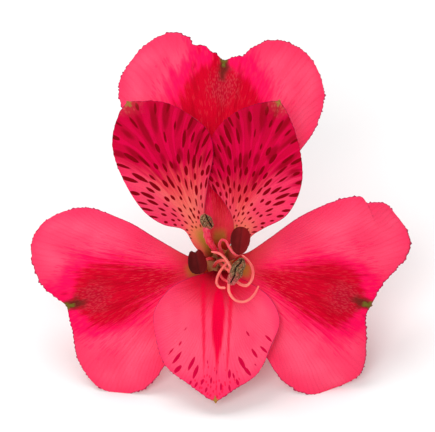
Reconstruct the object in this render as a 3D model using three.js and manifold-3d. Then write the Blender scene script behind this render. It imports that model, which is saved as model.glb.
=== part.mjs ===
// A cut alstroemeria bloom, lying down: six tepals, six stamens of which four still carry anthers, a
// style with three stigmas, and the ovary on a short cut stalk. Millimetres, +Z up. The bloom is made in
// its own frame: the stalk's axis is Z, the throat opens towards +Z, and the upper tepals are towards +Y.
// It is then leaned until the cut stalk and the two lower outer tepals touch the ground.
import * as THREE from "three";
import { mergeVertices } from "three/addons/utils/BufferGeometryUtils.js";
import Module from "manifold-3d";

// Driving dimensions
const clearance = 0.3; // between pieces that touch
const tepalThickness = 0.5;
const throatDepth = 16; // from the ovary's top to the plane in which the outer tepals spread
const filamentDiameter = 0.6;
const styleDiameter = 0.7;
const stigmaDiameter = 0.56;
const ovaryHeight = 7;
const ovaryRim = 0.2; // of the ovary's top outside the tepals' feet
const pedicelDiameter = 2.4;
const pedicelLength = 8.5;

// The throat nests from the style outwards: the ring of filaments, the inner tepals' feet, the outer
// tepals' feet.
const stamenRingRadius = styleDiameter / 2 + clearance + filamentDiameter / 2;
const whorlGap = tepalThickness + clearance; // inner tepals stand this far inside the outer ones
const innerFootRadius = stamenRingRadius + filamentDiameter / 2 + clearance + tepalThickness / 2;
const throatRadius = innerFootRadius + whorlGap;
const ovaryTopRadius = throatRadius + tepalThickness / 2 + ovaryRim;

// Mesh fineness
const rowsAlong = 13; // of a tepal, foot to tip
const rowsAcross = 14;
const tubeSides = 8;
const footSteps = 4; // along a filament, and for each point of its route
const routeSteps = 3;
const styleSteps = 12;
const stigmaSteps = 14;
const antherRings = 9;
const antherSides = 12;
const ovarySides = 24;
const pedicelSides = 16;
const weldTolerance = 1e-4;

const degree = Math.PI / 180;

const outerRed = 0xf53a62;
const innerRed = 0xc41a4c;
const filamentPink = 0xe8707a;
const stylePink = 0xf08478;
const ovaryGreen = 0x8a9a4c;
const pedicelGreen = 0x7f9a48;
const roughness = { tepal: 0.55, strand: 0.5, anther: 0.85, green: 0.6 };

// Each tepal: the azimuth and half-width of its foot, its tip and how far that reaches from the axis, and
// the points of its clockwise and anticlockwise margins from foot to tip, [x, y] as seen from the front.
// lift is how far its tip stands in front of the outer whorl's surface, cup how its sides rise, and roll
// how it tips sideways.
const tepals = {
  outer_tepal_upper: {
    colour: outerRed,
    foot: [90, 34],
    azimuth: 88.6,
    reach: 37,
    tip: [0.9, 37],
    lift: 0,
    cup: -0.004,
    roll: 0,
    clockwise: [
      [2.9, 5], [5, 9.5], [9, 14.5], [14.6, 20.2], [18.2, 26], [19.1, 31], [16, 37.8], [10.4, 40.2],
      [5.3, 38.5], [2.2, 37.3],
    ],
    anticlockwise: [
      [-2.9, 5], [-4.6, 9], [-8, 15], [-13, 21.5], [-17.3, 27.5], [-17.7, 33], [-14, 39], [-9, 41.4],
      [-4.8, 40.2], [-1.3, 38.2],
    ],
  },
  outer_tepal_lower_left: {
    colour: outerRed,
    foot: [210, 34],
    azimuth: 195.7,
    reach: 28.8,
    tip: [-27.7, -7.8],
    lift: 0,
    cup: -0.006,
    roll: 0,
    clockwise: [
      [-5.7, 1.3], [-11, 4.3], [-17, 7.7], [-25, 10], [-30.5, 8], [-33.9, 2.3], [-32.3, -3.5], [-28.9, -6.5],
    ],
    anticlockwise: [
      [-3, -5], [-5.8, -11], [-9.8, -18.5], [-13, -22.3], [-17.3, -23.6], [-22, -22.2], [-25.4, -18],
      [-26.4, -12],
    ],
  },
  outer_tepal_lower_right: {
    colour: outerRed,
    foot: [330, 34],
    azimuth: -15.6,
    reach: 28.7,
    tip: [27.6, -7.7],
    lift: 0,
    cup: -0.006,
    roll: 0,
    clockwise: [
      [3, -5], [5.4, -10.5], [8.6, -17], [12, -21.9], [17, -23.6], [22, -22.5], [25.6, -19.6], [26.6, -13],
    ],
    anticlockwise: [
      [5.2, 1.6], [9, 4.3], [15, 8.6], [22, 11.5], [26.2, 11.1], [30, 10.5], [33.6, 4.5], [32, -0.5],
      [28.6, -4.8],
    ],
  },
  inner_tepal_upper_left: {
    colour: innerRed,
    foot: [150, 24],
    azimuth: 119.6,
    reach: 33.4,
    tip: [-16.5, 29],
    lift: 7,
    cup: 0.006,
    roll: -0.07,
    clockwise: [
      [-2.1, 5], [-2.6, 9], [-2, 14], [-1, 20], [-2, 23.7], [-6, 27], [-10, 28.8], [-14, 29],
    ],
    anticlockwise: [
      [-4.4, 3], [-6.3, 5.9], [-10, 6.9], [-13.5, 9.3], [-17.5, 15.8], [-19.1, 21.5], [-18, 26.3],
    ],
  },
  inner_tepal_upper_right: {
    colour: innerRed,
    foot: [30, 24],
    azimuth: 69.7,
    reach: 31.1,
    tip: [10.8, 29.2],
    lift: 7,
    cup: 0.006,
    roll: -0.09,
    clockwise: [
      [4.9, 2.2], [5.7, 4.6], [8, 6.2], [12.3, 8.7], [14.8, 15], [14.4, 20.5], [12.4, 26.5],
    ],
    anticlockwise: [
      [2.6, 4.6], [2.3, 8.4], [0.5, 11.5], [-1.8, 14.2], [-2, 18.5], [-0.8, 23.4], [3, 27], [7.4, 28.6],
    ],
  },
  inner_tepal_lower: {
    colour: outerRed,
    foot: [270, 34],
    azimuth: 268.6,
    reach: 25,
    tip: [-0.6, -25],
    lift: 2.5,
    cup: 0.004,
    roll: 0,
    clockwise: [
      [-3, -2], [-5.4, -2.7], [-9, -4.7], [-11.7, -8.6], [-11.2, -13.6], [-9.6, -18.3], [-5, -22],
      [-1.8, -24.3],
    ],
    anticlockwise: [
      [3, -2.4], [6.4, -4], [9.4, -6.5], [10.9, -10.5], [9.2, -15.3], [6.5, -20.2], [2.6, -22.7],
    ],
  },
};

// The outer whorl's surface in section: [distance from the foot outwards, share of the throat's depth].
const bowl = [
  [0, 0], [0.7, 0.36], [2, 0.68], [5, 0.9], [11, 1], [19, 0.99], [27, 0.85], [35, 0.62], [43, 0.38],
  [52, 0.1],
];
const bowlSamples = 160;
const liftFrom = 4; // the inner tepals leave the outer ones this far out from the foot
const liftOver = 24; // and have their full lift this much further
const cupFrom = 2; // the sides start to rise this far out from the foot
const cupTo = 12;
const tipEdgeFrom = 0.66; // share of a margin's length where the tip edge begins

// Stamens: [x, y, share of the throat's depth] from the throat to the anther, after a foot in the ring.
const stamens = [
  { foot: 150, route: [[-1.3, 0.7, 0.5], [-1.8, 0.8, 0.95], [-2.5, 0.6, 1.25], [-3.2, 0.3, 1.45]] },
  {
    foot: 30,
    route: [
      [0.8, 1.4, 0.5], [0.2, 2.6, 0.94], [0.1, 3.5, 1.2], [0.6, 4.2, 1.4], [1.3, 3.9, 1.5], [1.8, 2.9, 1.56],
      [2.6, 1.8, 1.62], [3.3, 1.5, 1.68],
    ],
  },
  {
    foot: 90,
    route: [[-0.1, 1.4, 0.38], [-0.5, 2.1, 0.72], [-1.2, 3.1, 0.94], [-2, 4.5, 1.08], [-2.2, 5.8, 1.16]],
  },
  { foot: 330, route: [[1.6, -1.3, 0.5], [2.6, -2.3, 1], [3.5, -2.6, 1.38], [3.7, -1.9, 1.56]] },
  {
    foot: 210,
    route: [
      [-0.9, -0.6, 0.5], [-0.3, 0.2, 0.88], [0.8, 0.5, 1.14], [1.3, 0, 1.3], [0.3, -1.3, 1.44],
      [-0.3, -2.5, 1.5], [-0.4, -3.6, 1.54], [0.2, -4.3, 1.56], [1, -4.3, 1.57],
    ],
  },
  { foot: 270, route: [[0.1, -1.7, 0.5], [0.3, -2.3, 0.88], [0.8, -2.9, 1.18], [1.5, -3.2, 1.4]] },
];

// Anthers, each on the stamen of the same number: middle, width, length and depth, and its turn in the
// face plane.
const anthers = [
  { middle: [-3.9, 0.1, 1.62], size: [3.4, 4.4, 2.2], turn: 4, colour: 0x581310 },
  { middle: [3.8, 4.1, 1.78], size: [3.5, 5, 2.4], turn: -8, colour: 0x6d1216 },
  { middle: [-2.2, 7.4, 1.2], size: [2.1, 2.6, 1.3], turn: 12, colour: 0x8d6a50 },
  { middle: [3.1, -1.4, 1.76], size: [2, 5, 1.3], turn: -30, colour: 0x7f5840 },
];

const styleRoute = [[0, 0, 0], [0.2, -0.1, 0.5], [0.8, -0.6, 1], [1.6, -1.2, 1.36], [2.2, -1.7, 1.54]];
const stigmaRoutes = [
  [[2.1, -0.9, 1.57], [1.4, 0.5, 1.61], [0.2, 1.7, 1.62], [-1.3, 2.1, 1.6]],
  [
    [3.5, -3.5, 1.57], [4.9, -3.9, 1.58], [5.9, -2.7, 1.58], [6, -1, 1.56], [5.2, 0.5, 1.52],
    [4.2, 1.4, 1.47],
  ],
  [[1.8, -3.2, 1.58], [1.8, -5, 1.6], [2.9, -6.5, 1.6], [4.6, -6.8, 1.6], [6.2, -5.6, 1.6], [7, -4.1, 1.6]],
];

// The ovary in section, [radius, share of its height], and the ribs on it.
const ovarySection = [
  [0, 0], [pedicelDiameter / 2, 0], [pedicelDiameter / 2 + 0.5, 0.1], [pedicelDiameter / 2 + 1.1, 0.3],
  [ovaryTopRadius, 0.62], [ovaryTopRadius, 0.85], [ovaryTopRadius - 0.35, 1], [0, 1],
];
const ovaryRibs = 6;
const ribDepth = 0.14;

const wasm = await Module();
wasm.setup();

// Heights of the outer whorl's surface over its distance from the axis, moved towards the throat by
// gap(distance).
function bowlHeights(gap) {
  const section = new THREE.SplineCurve(
    bowl.map(([out, share]) => new THREE.Vector2(throatRadius + out, share * throatDepth)),
  );
  return section.getPoints(bowlSamples).map((point, i) => {
    const along = section.getTangent(i / bowlSamples);
    const shift = gap(point.x - throatRadius);
    return [point.x - along.y * shift, point.y + along.x * shift];
  });
}

function heightAt(table, distance) {
  const after = table.findIndex(([out]) => out > distance);
  if (after === 0) return table[0][1];
  const [r0, z0] = table.at(after < 0 ? -2 : after - 1);
  const [r1, z1] = table.at(after < 0 ? -1 : after);
  return z0 + ((z1 - z0) * (distance - r0)) / (r1 - r0);
}

// A tepal's middle surface: u runs from foot to tip edge, v from the clockwise to the anticlockwise
// margin. It is a Coons patch in polar coordinates about the throat, so that the foot curves round the
// axis.
function tepalSurface(tepal) {
  const inner = tepal.lift > 0;
  const footRadius = inner ? innerFootRadius : throatRadius;
  const heights = bowlHeights((out) =>
    inner ? whorlGap + tepal.lift * THREE.MathUtils.smoothstep(out, liftFrom, liftFrom + liftOver) : 0,
  );
  const scale = tepal.reach / Math.hypot(...tepal.tip);
  const polar = ([x, y]) => {
    const turn = Math.atan2(y, x) / degree - tepal.azimuth;
    return [Math.hypot(x, y), turn - 360 * Math.round(turn / 360)];
  };
  const margin = (points, side) => {
    const foot = (tepal.foot[0] + side * tepal.foot[1]) * degree;
    const curve = new THREE.CatmullRomCurve3([
      new THREE.Vector3(footRadius * Math.cos(foot), footRadius * Math.sin(foot), 0),
      ...[...points, tepal.tip].map(([x, y]) => new THREE.Vector3(x * scale, y * scale, 0)),
    ]);
    return (share) => polar(curve.getPointAt(THREE.MathUtils.clamp(share, 0, 1)).toArray());
  };
  const clockwise = margin(tepal.clockwise, -1);
  const anticlockwise = margin(tepal.anticlockwise, 1);
  const tipEdge = (v) =>
    v < 0.5
      ? clockwise(tipEdgeFrom + (1 - tipEdgeFrom) * 2 * v)
      : anticlockwise(tipEdgeFrom + (1 - tipEdgeFrom) * 2 * (1 - v));
  const feet = [clockwise(0), anticlockwise(0)];
  const shoulders = [clockwise(tipEdgeFrom), anticlockwise(tipEdgeFrom)];
  return (u, v) => {
    const first = clockwise(tipEdgeFrom * u);
    const second = anticlockwise(tipEdgeFrom * u);
    const edge = tipEdge(v);
    const [distance, turn] = [0, 1].map((k) => {
      const foot = feet[0][k] * (1 - v) + feet[1][k] * v;
      const across = first[k] * (1 - v) + second[k] * v;
      const blend = (1 - u) * foot + u * (shoulders[0][k] * (1 - v) + shoulders[1][k] * v);
      return across + (1 - u) * foot + u * edge[k] - blend;
    });
    const side = distance * Math.sin(turn * degree);
    const spread = THREE.MathUtils.smoothstep(distance, throatRadius + cupFrom, throatRadius + cupTo);
    const height = heightAt(heights, distance) + (tepal.cup * side * side + tepal.roll * side) * spread;
    const bearing = (turn + tepal.azimuth) * degree;
    return new THREE.Vector3(distance * Math.cos(bearing), distance * Math.sin(bearing), height);
  };
}

// Values of u that put the rows at even steps along the surface, because the throat is steep.
function evenRows(surface) {
  const samples = 240;
  const lengths = [0];
  for (let i = 1; i <= samples; i++) {
    lengths.push(lengths[i - 1] + surface(i / samples, 0.5).distanceTo(surface((i - 1) / samples, 0.5)));
  }
  return Array.from({ length: rowsAlong + 1 }, (_, row) => {
    const wanted = (lengths[samples] * row) / rowsAlong;
    return row === rowsAlong ? 1 : lengths.findIndex((length) => length >= wanted) / samples;
  });
}

// A closed leaf of even thickness about a surface.
function leaf(surface, thickness) {
  const rows = evenRows(surface);
  const step = 1e-3;
  const positions = [];
  for (const side of [1, -1]) {
    for (const u of rows) {
      for (let j = 0; j <= rowsAcross; j++) {
        const v = j / rowsAcross;
        const [u0, u1] = [Math.max(u - step, 0), Math.min(u + step, 1)];
        const [v0, v1] = [Math.max(v - step, 0), Math.min(v + step, 1)];
        const along = surface(u1, v).sub(surface(u0, v));
        const across = surface(u, v1).sub(surface(u, v0));
        const out = along.cross(across).normalize().multiplyScalar((side * thickness) / 2);
        positions.push(...surface(u, v).add(out).toArray());
      }
    }
  }
  const across = rowsAcross + 1;
  const layer = across * (rowsAlong + 1);
  const index = [];
  const quad = (a, b, c, d) => index.push(a, b, c, a, c, d);
  for (let i = 0; i < rowsAlong; i++) {
    for (let j = 0; j < rowsAcross; j++) {
      const [a, b] = [i * across + j, (i + 1) * across + j];
      const [c, d] = [b + 1, a + 1];
      quad(a, b, c, d);
      quad(layer + a, layer + d, layer + c, layer + b);
    }
  }
  const rim = [];
  for (let j = 0; j < rowsAcross; j++) rim.push(j);
  for (let i = 0; i < rowsAlong; i++) rim.push(i * across + rowsAcross);
  for (let j = rowsAcross; j > 0; j--) rim.push(rowsAlong * across + j);
  for (let i = rowsAlong; i > 0; i--) rim.push(i * across);
  rim.forEach((a, k) => {
    const b = rim[(k + 1) % rim.length];
    quad(a, b, layer + b, layer + a);
  });
  const geometry = new THREE.BufferGeometry();
  geometry.setAttribute("position", new THREE.Float32BufferAttribute(positions, 3));
  geometry.setIndex(index);
  return geometry;
}

const inThroat = ([x, y, share]) => new THREE.Vector3(x, y, share * throatDepth);

function tube(points, diameter, steps) {
  const section = new THREE.Shape().absarc(0, 0, diameter / 2, 0, 2 * Math.PI);
  return new THREE.ExtrudeGeometry(section, {
    steps,
    curveSegments: tubeSides / 2,
    extrudePath: new THREE.CatmullRomCurve3(points),
  });
}

function solidOf(geometry) {
  const bare = geometry.clone();
  bare.deleteAttribute("normal");
  bare.deleteAttribute("uv");
  const merged = mergeVertices(bare, weldTolerance);
  return new wasm.Manifold(
    new wasm.Mesh({
      numProp: 3,
      vertProperties: merged.attributes.position.array,
      triVerts: new Uint32Array(merged.index.array),
    }),
  );
}

function joined(geometries) {
  const mesh = geometries.map(solidOf).reduce((whole, piece) => whole.add(piece)).getMesh();
  const geometry = new THREE.BufferGeometry();
  geometry.setAttribute("position", new THREE.BufferAttribute(mesh.vertProperties, 3));
  geometry.setIndex(new THREE.BufferAttribute(mesh.triVerts, 1));
  return geometry;
}

function piece(name, geometry, colour, kind) {
  geometry.computeVertexNormals();
  const look = { color: colour, roughness: roughness[kind], metalness: 0 };
  const mesh = new THREE.Mesh(geometry, new THREE.MeshStandardMaterial(look));
  mesh.name = name;
  return mesh;
}

function filament(stamen) {
  const foot = stamen.foot * degree;
  const start = new THREE.Vector3(stamenRingRadius * Math.cos(foot), stamenRingRadius * Math.sin(foot), 0);
  const steps = footSteps + routeSteps * stamen.route.length;
  return tube([start, ...stamen.route.map(inThroat)], filamentDiameter, steps);
}

// An egg of revolution, flattened to the anther's depth.
function anther({ middle, size, turn }) {
  const profile = Array.from({ length: antherRings + 1 }, (_, i) => {
    const angle = (Math.PI * i) / antherRings - Math.PI / 2;
    const onAxis = i === 0 || i === antherRings;
    return new THREE.Vector2(onAxis ? 0 : Math.cos(angle) / 2, Math.sin(angle) / 2);
  });
  const egg = new THREE.LatheGeometry(profile, antherSides);
  egg.scale(...size);
  egg.rotateZ(turn * degree);
  return egg.translate(...inThroat(middle).toArray());
}

function style() {
  const junction = styleRoute.at(-1);
  const branches = stigmaRoutes.map((route) =>
    tube([junction, ...route].map(inThroat), stigmaDiameter, stigmaSteps),
  );
  return joined([tube(styleRoute.map(inThroat), styleDiameter, styleSteps), ...branches]);
}

// The ovary hangs under the tepals' feet: a six-ribbed top shape on the stalk.
function ovary() {
  const profile = ovarySection.map(([radius, share]) => new THREE.Vector2(radius, share * ovaryHeight));
  const body = new THREE.LatheGeometry(profile, ovarySides);
  const position = body.attributes.position;
  for (let i = 0; i < position.count; i++) {
    const [x, y, z] = [position.getX(i), position.getY(i), position.getZ(i)];
    const swell = Math.sin((Math.PI * y) / ovaryHeight);
    const radius = Math.hypot(x, z) || 1;
    const grow = 1 + (ribDepth * swell * Math.cos(ovaryRibs * Math.atan2(z, x))) / radius;
    position.setXYZ(i, x * grow, y, z * grow);
  }
  body.rotateX(Math.PI / 2);
  return body.translate(0, 0, -clearance - ovaryHeight);
}

function pedicel() {
  const radius = pedicelDiameter / 2;
  const stalk = new THREE.CylinderGeometry(radius, radius, pedicelLength, pedicelSides);
  stalk.rotateX(Math.PI / 2);
  return stalk.translate(0, 0, -2 * clearance - ovaryHeight - pedicelLength / 2);
}

// The turn about X that brings the stalk's cut end and the foremost low points down to one level: no
// point may pass under the plane through the end's lowest edge.
function leanToGround(bloom) {
  const pivot = new THREE.Vector2(-pedicelDiameter / 2, -2 * clearance - ovaryHeight - pedicelLength);
  let least = Math.PI;
  for (const mesh of bloom.children) {
    const position = mesh.geometry.attributes.position;
    for (let i = 0; i < position.count; i++) {
      const [back, up] = [pivot.x - position.getY(i), position.getZ(i) - pivot.y];
      if (back > pedicelDiameter) least = Math.min(least, Math.atan2(up, back));
    }
  }
  return least;
}

const bloom = new THREE.Group();
for (const [name, tepal] of Object.entries(tepals)) {
  bloom.add(piece(name, leaf(tepalSurface(tepal), tepalThickness), tepal.colour, "tepal"));
}
stamens.forEach((stamen, i) => {
  bloom.add(piece(`filament_${i + 1}`, filament(stamen), filamentPink, "strand"));
});
anthers.forEach((part, i) => bloom.add(piece(`anther_${i + 1}`, anther(part), part.colour, "anther")));
bloom.add(piece("style", style(), stylePink, "strand"));
bloom.add(piece("ovary", ovary(), ovaryGreen, "green"));
bloom.add(piece("pedicel", pedicel(), pedicelGreen, "green"));

// Stand the leaned bloom on the ground with the middle of its box over the origin.
bloom.rotation.x = leanToGround(bloom);
const box = new THREE.Box3().setFromObject(bloom, true);
const middle = box.getCenter(new THREE.Vector3());
bloom.position.set(-middle.x, -middle.y, -box.min.z);

const alstroemeria = new THREE.Group();
alstroemeria.add(bloom);
export default alstroemeria;
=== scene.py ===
import math

import bpy
import numpy as np
from mathutils import Matrix, Vector, noise


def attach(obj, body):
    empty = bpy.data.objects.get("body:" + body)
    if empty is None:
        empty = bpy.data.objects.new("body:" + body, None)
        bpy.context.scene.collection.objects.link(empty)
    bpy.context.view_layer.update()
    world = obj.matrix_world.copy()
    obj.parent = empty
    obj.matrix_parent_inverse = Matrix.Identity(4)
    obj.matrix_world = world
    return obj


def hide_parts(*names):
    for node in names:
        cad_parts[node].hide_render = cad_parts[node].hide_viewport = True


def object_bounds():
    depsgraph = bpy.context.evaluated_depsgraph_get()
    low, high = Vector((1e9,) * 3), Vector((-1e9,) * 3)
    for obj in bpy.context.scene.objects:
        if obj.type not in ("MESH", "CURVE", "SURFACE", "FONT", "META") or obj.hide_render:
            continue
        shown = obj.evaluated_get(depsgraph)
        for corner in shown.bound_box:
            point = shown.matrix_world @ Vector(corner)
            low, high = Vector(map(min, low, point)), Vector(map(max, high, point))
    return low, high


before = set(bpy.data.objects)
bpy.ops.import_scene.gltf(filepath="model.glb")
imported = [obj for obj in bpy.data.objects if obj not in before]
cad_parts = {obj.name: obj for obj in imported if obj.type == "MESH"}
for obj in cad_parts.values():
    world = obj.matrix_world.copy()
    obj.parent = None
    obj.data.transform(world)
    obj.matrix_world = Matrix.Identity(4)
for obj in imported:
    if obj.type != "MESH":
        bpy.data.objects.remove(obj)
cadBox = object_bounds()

# A cut alstroemeria bloom that lies on its stalk end and its two lower outer tepals.
# Every piece is shaped in the bloom's own frame, in millimetres: the stalk's axis is Z, the throat opens
# towards +Z and the upper tepals point to +Y. toRow then scales, leans and places it on the ground.
mm = 0.001
curveSteps = 40     # from one point of a curve to the next
longestMargin = 200
pressedHeight = 0.2  # how much of the lowest parts the ground flattens

bloom = {
    "clearance": 0.3,        # between the solids of pieces that touch
    "throatDepth": 16,
    "filamentDiameter": 0.6,
    "styleDiameter": 0.7,
    "tepalGap": 0.8,         # from the outer whorl's surface to the inner one's
    "tepalThickness": 0.5,
    "ovaryHeight": 7,
    "stalkLength": 8.5,
    "stalkDiameter": 2.4,
}
ringRadius = (bloom["styleDiameter"] + bloom["filamentDiameter"]) / 2 + bloom["clearance"]
innerFoot = ringRadius + bloom["filamentDiameter"] / 2 + bloom["clearance"] + bloom["tepalThickness"] / 2
outerFoot = innerFoot + bloom["tepalGap"]


def placeBloom():
    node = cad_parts["pedicel"]
    ends = np.unique(np.round([v.co for v in node.data.vertices], 6), axis=0)
    middle = (ends.min(0) + ends.max(0)) / 2
    axis = ends[ends[:, 2] > middle[2]].mean(0) - ends[ends[:, 2] < middle[2]].mean(0)
    lean = Matrix.Rotation(math.atan2(-axis[1], axis[2]), 4, "X")
    down = 2 * bloom["clearance"] + bloom["ovaryHeight"] + bloom["stalkLength"] / 2
    offset = Vector(middle) - lean @ Vector((0, 0, -down * mm))
    return Matrix.Translation(offset) @ lean @ Matrix.Scale(mm, 4)


toRow = placeBloom()


def smooth(x, low, high):
    t = np.clip((np.asarray(x, float) - low) / (high - low), 0, 1)
    return t * t * (3 - 2 * t)


def curveThrough(points):
    # a centripetal curve through the points, so tight corners don't loop
    p = np.array(points, float)
    p = np.vstack([2 * p[0] - p[1], p, 2 * p[-1] - p[-2]])
    out = []
    for i in range(len(p) - 3):
        q = p[i:i + 4]
        t = np.concatenate([[0], np.cumsum(np.sqrt(np.linalg.norm(np.diff(q, axis=0), axis=1)))])
        x = np.linspace(t[1], t[2], curveSteps, endpoint=False)[:, None]
        a = [((t[k + 1] - x) * q[k] + (x - t[k]) * q[k + 1]) / (t[k + 1] - t[k]) for k in range(3)]
        b = [((t[k + 2] - x) * a[k] + (x - t[k]) * a[k + 1]) / (t[k + 2] - t[k]) for k in range(2)]
        out.append(((t[2] - x) * b[0] + (x - t[1]) * b[1]) / (t[2] - t[1]))
    return np.vstack(out + [p[-2:-1]])


def lengthsAlong(points):
    return np.concatenate([[0], np.cumsum(np.linalg.norm(np.diff(points, axis=0), axis=1))])


def atShare(curve, share):
    lengths = lengthsAlong(curve)
    at = np.clip(share, 0, 1) * lengths[-1]
    return np.stack([np.interp(at, lengths, curve[:, k]) for k in range(curve.shape[1])], axis=-1)


def waves(seed, low, high):
    # a smooth random field over the plane, wavelengths from low to high mm, height about 1
    count = 7
    rng = np.random.default_rng(seed)
    angle = rng.uniform(0, 2 * np.pi, count)
    k = 2 * np.pi / rng.uniform(low, high, count)
    phase = rng.uniform(0, 2 * np.pi, count)
    return lambda x, y: sum(
        np.sin(k[i] * (x * np.cos(angle[i]) + y * np.sin(angle[i])) + phase[i]) for i in range(count)
    ) / math.sqrt(count)


def scallops(seed):
    # an uneven wavy line along a margin, height about 1
    wavelengths = (2.1, 3.3)
    rng = np.random.default_rng(seed)
    phase = rng.uniform(0, 2 * np.pi, (len(wavelengths), 2))
    return lambda s: sum(
        np.sin(2 * np.pi * s / w + phase[i, 0]) * (0.6 + 0.4 * np.sin(s / (2.3 * w) + phase[i, 1]))
        for i, w in enumerate(wavelengths)
    ) / len(wavelengths)


# the outer whorl's surface in section: [distance out from its foot, share of the throat's depth]
bowl = [
    [0, 0], [0.7, 0.36], [2, 0.68], [5, 0.9], [11, 1], [19, 0.99], [27, 0.85], [35, 0.62], [43, 0.38],
    [52, 0.1],
]
liftFrom, liftOver = 4, 24


def bowlHeights(tepal):
    section = curveThrough([[outerFoot + out, share * bloom["throatDepth"]] for out, share in bowl])
    along = np.gradient(section, axis=0)
    along /= np.linalg.norm(along, axis=1)[:, None]
    rise = smooth(section[:, 0] - outerFoot, liftFrom, liftFrom + liftOver)
    shift = bloom["tepalGap"] + tepal["lift"] * rise if tepal["lift"] else np.zeros(len(section))
    return section[:, 0] - along[:, 1] * shift, section[:, 1] + along[:, 0] * shift


def tepalSurface(tepal):
    # u runs from foot to tip edge, v from the clockwise to the anticlockwise margin: a Coons patch in
    # polar coordinates about the throat, laid on the bowl
    footRadius = innerFoot if tepal["lift"] else outerFoot
    outs, heights = bowlHeights(tepal)
    corner = 0.66  # share of a margin at which it turns into the tip edge
    azimuth = math.radians(tepal["azimuth"])

    def polar(points):
        turn = np.arctan2(points[..., 1], points[..., 0]) - azimuth
        turn = (turn + np.pi) % (2 * np.pi) - np.pi
        return np.stack([np.hypot(points[..., 0], points[..., 1]), turn], axis=-1)

    def margin(points, side):
        foot = math.radians(tepal["foot"][0] + side * tepal["foot"][1])
        start = [footRadius * math.cos(foot), footRadius * math.sin(foot)]
        curve = curveThrough([start] + points + [tepal["tip"]])
        return lambda share: polar(atShare(curve, share))

    first, second = margin(tepal["clockwise"], -1), margin(tepal["anticlockwise"], 1)

    def surface(u, v):
        edge = np.where(
            (v < 0.5)[..., None],
            first(corner + (1 - corner) * 2 * v),
            second(corner + (1 - corner) * 2 * (1 - v)),
        )
        u1, v1 = u[..., None], v[..., None]
        across = first(corner * u) * (1 - v1) + second(corner * u) * v1
        shoulders = first(np.array([corner])) * (1 - v1) + second(np.array([corner])) * v1
        out, turn = np.moveaxis(across + u1 * (edge - shoulders), -1, 0)
        side = out * np.sin(turn)
        spread = smooth(out, outerFoot + 2, outerFoot + liftOver / 2)
        height = np.interp(out, outs, heights) + (tepal["cup"] * side ** 2 + tepal["roll"] * side) * spread
        bearing = turn + azimuth
        return np.stack([out * np.cos(bearing), out * np.sin(bearing), height], axis=-1)

    return surface


def ridge(distance, width):
    # 1 at the middle of a rounded ridge or groove, almost 0 two widths away
    return np.exp(-(distance / width) ** 2)


def unit(vectors):
    return vectors / np.maximum(np.linalg.norm(vectors, axis=-1, keepdims=True), 1e-9)


def normalsOf(grid):
    return unit(np.cross(np.gradient(grid, axis=0), np.gradient(grid, axis=1)))


def distances(grid, axis):
    steps = np.linalg.norm(np.diff(grid, axis=axis), axis=-1)
    total = np.cumsum(steps, axis=axis)
    return np.concatenate([np.zeros_like(np.take(total, [0], axis=axis)), total], axis=axis)


def addObject(name, data):
    thing = bpy.data.objects.new(name, data)
    bpy.context.collection.objects.link(thing)
    return thing


def meshObject(name, points, faces, fields):
    mesh = bpy.data.meshes.new(name)
    mesh.from_pydata(points.tolist(), [], faces)
    mesh.transform(toRow)
    # what lies lowest is pressed flat, so that it rests on the ground without passing through it
    placed = np.zeros(3 * len(points))
    mesh.vertices.foreach_get("co", placed)
    height, soft = placed[2::3], pressedHeight * mm
    placed[2::3] = np.where(height < soft, soft * np.exp(np.minimum(height / soft - 1, 0)), height)
    mesh.vertices.foreach_set("co", placed)
    mesh.shade_smooth()
    for key, values in fields.items():
        values = np.asarray(values, np.float32)
        kind, content = ("FLOAT_VECTOR", "vector") if values.ndim == 2 else ("FLOAT", "value")
        mesh.attributes.new(key, kind, "POINT").data.foreach_set(content, values.ravel())
    mesh.validate()
    return addObject(name, mesh)


def settle(piece, node, slot, material):
    piece.data.materials.append(material)
    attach(piece, "root")
    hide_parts(node)


def ringFaces(rings, around, pointed=False, start=0):
    # quads between rings of points, closed by a face at each end or by fans about the two points after them
    index = start + np.arange(rings * around).reshape(rings, around)
    turned = np.roll(index, -1, axis=1)
    faces = np.stack([index[:-1], turned[:-1], turned[1:], index[1:]], -1).reshape(-1, 4).tolist()
    if not pointed:
        return faces + [index[0][::-1].tolist(), index[-1].tolist()]
    low = start + index.size
    faces += [[low, b, a] for a, b in zip(index[0].tolist(), turned[0].tolist())]
    return faces + [[low + 1, a, b] for a, b in zip(index[-1].tolist(), turned[-1].tolist())]


def toothProfile(seed, spacing, height):
    # small pointed teeth of uneven width and height along a margin
    rng = np.random.default_rng(seed)
    places, heights = [0], [0]
    while places[-1] < longestMargin:
        step = rng.uniform(*spacing)
        places += [places[-1] + step * rng.uniform(0.35, 0.65), places[-1] + step]
        heights += [height * rng.uniform(0.25, 1) ** 1.3, height * rng.uniform(0, 0.12)]
    return lambda run: np.interp(run, places, heights)


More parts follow.
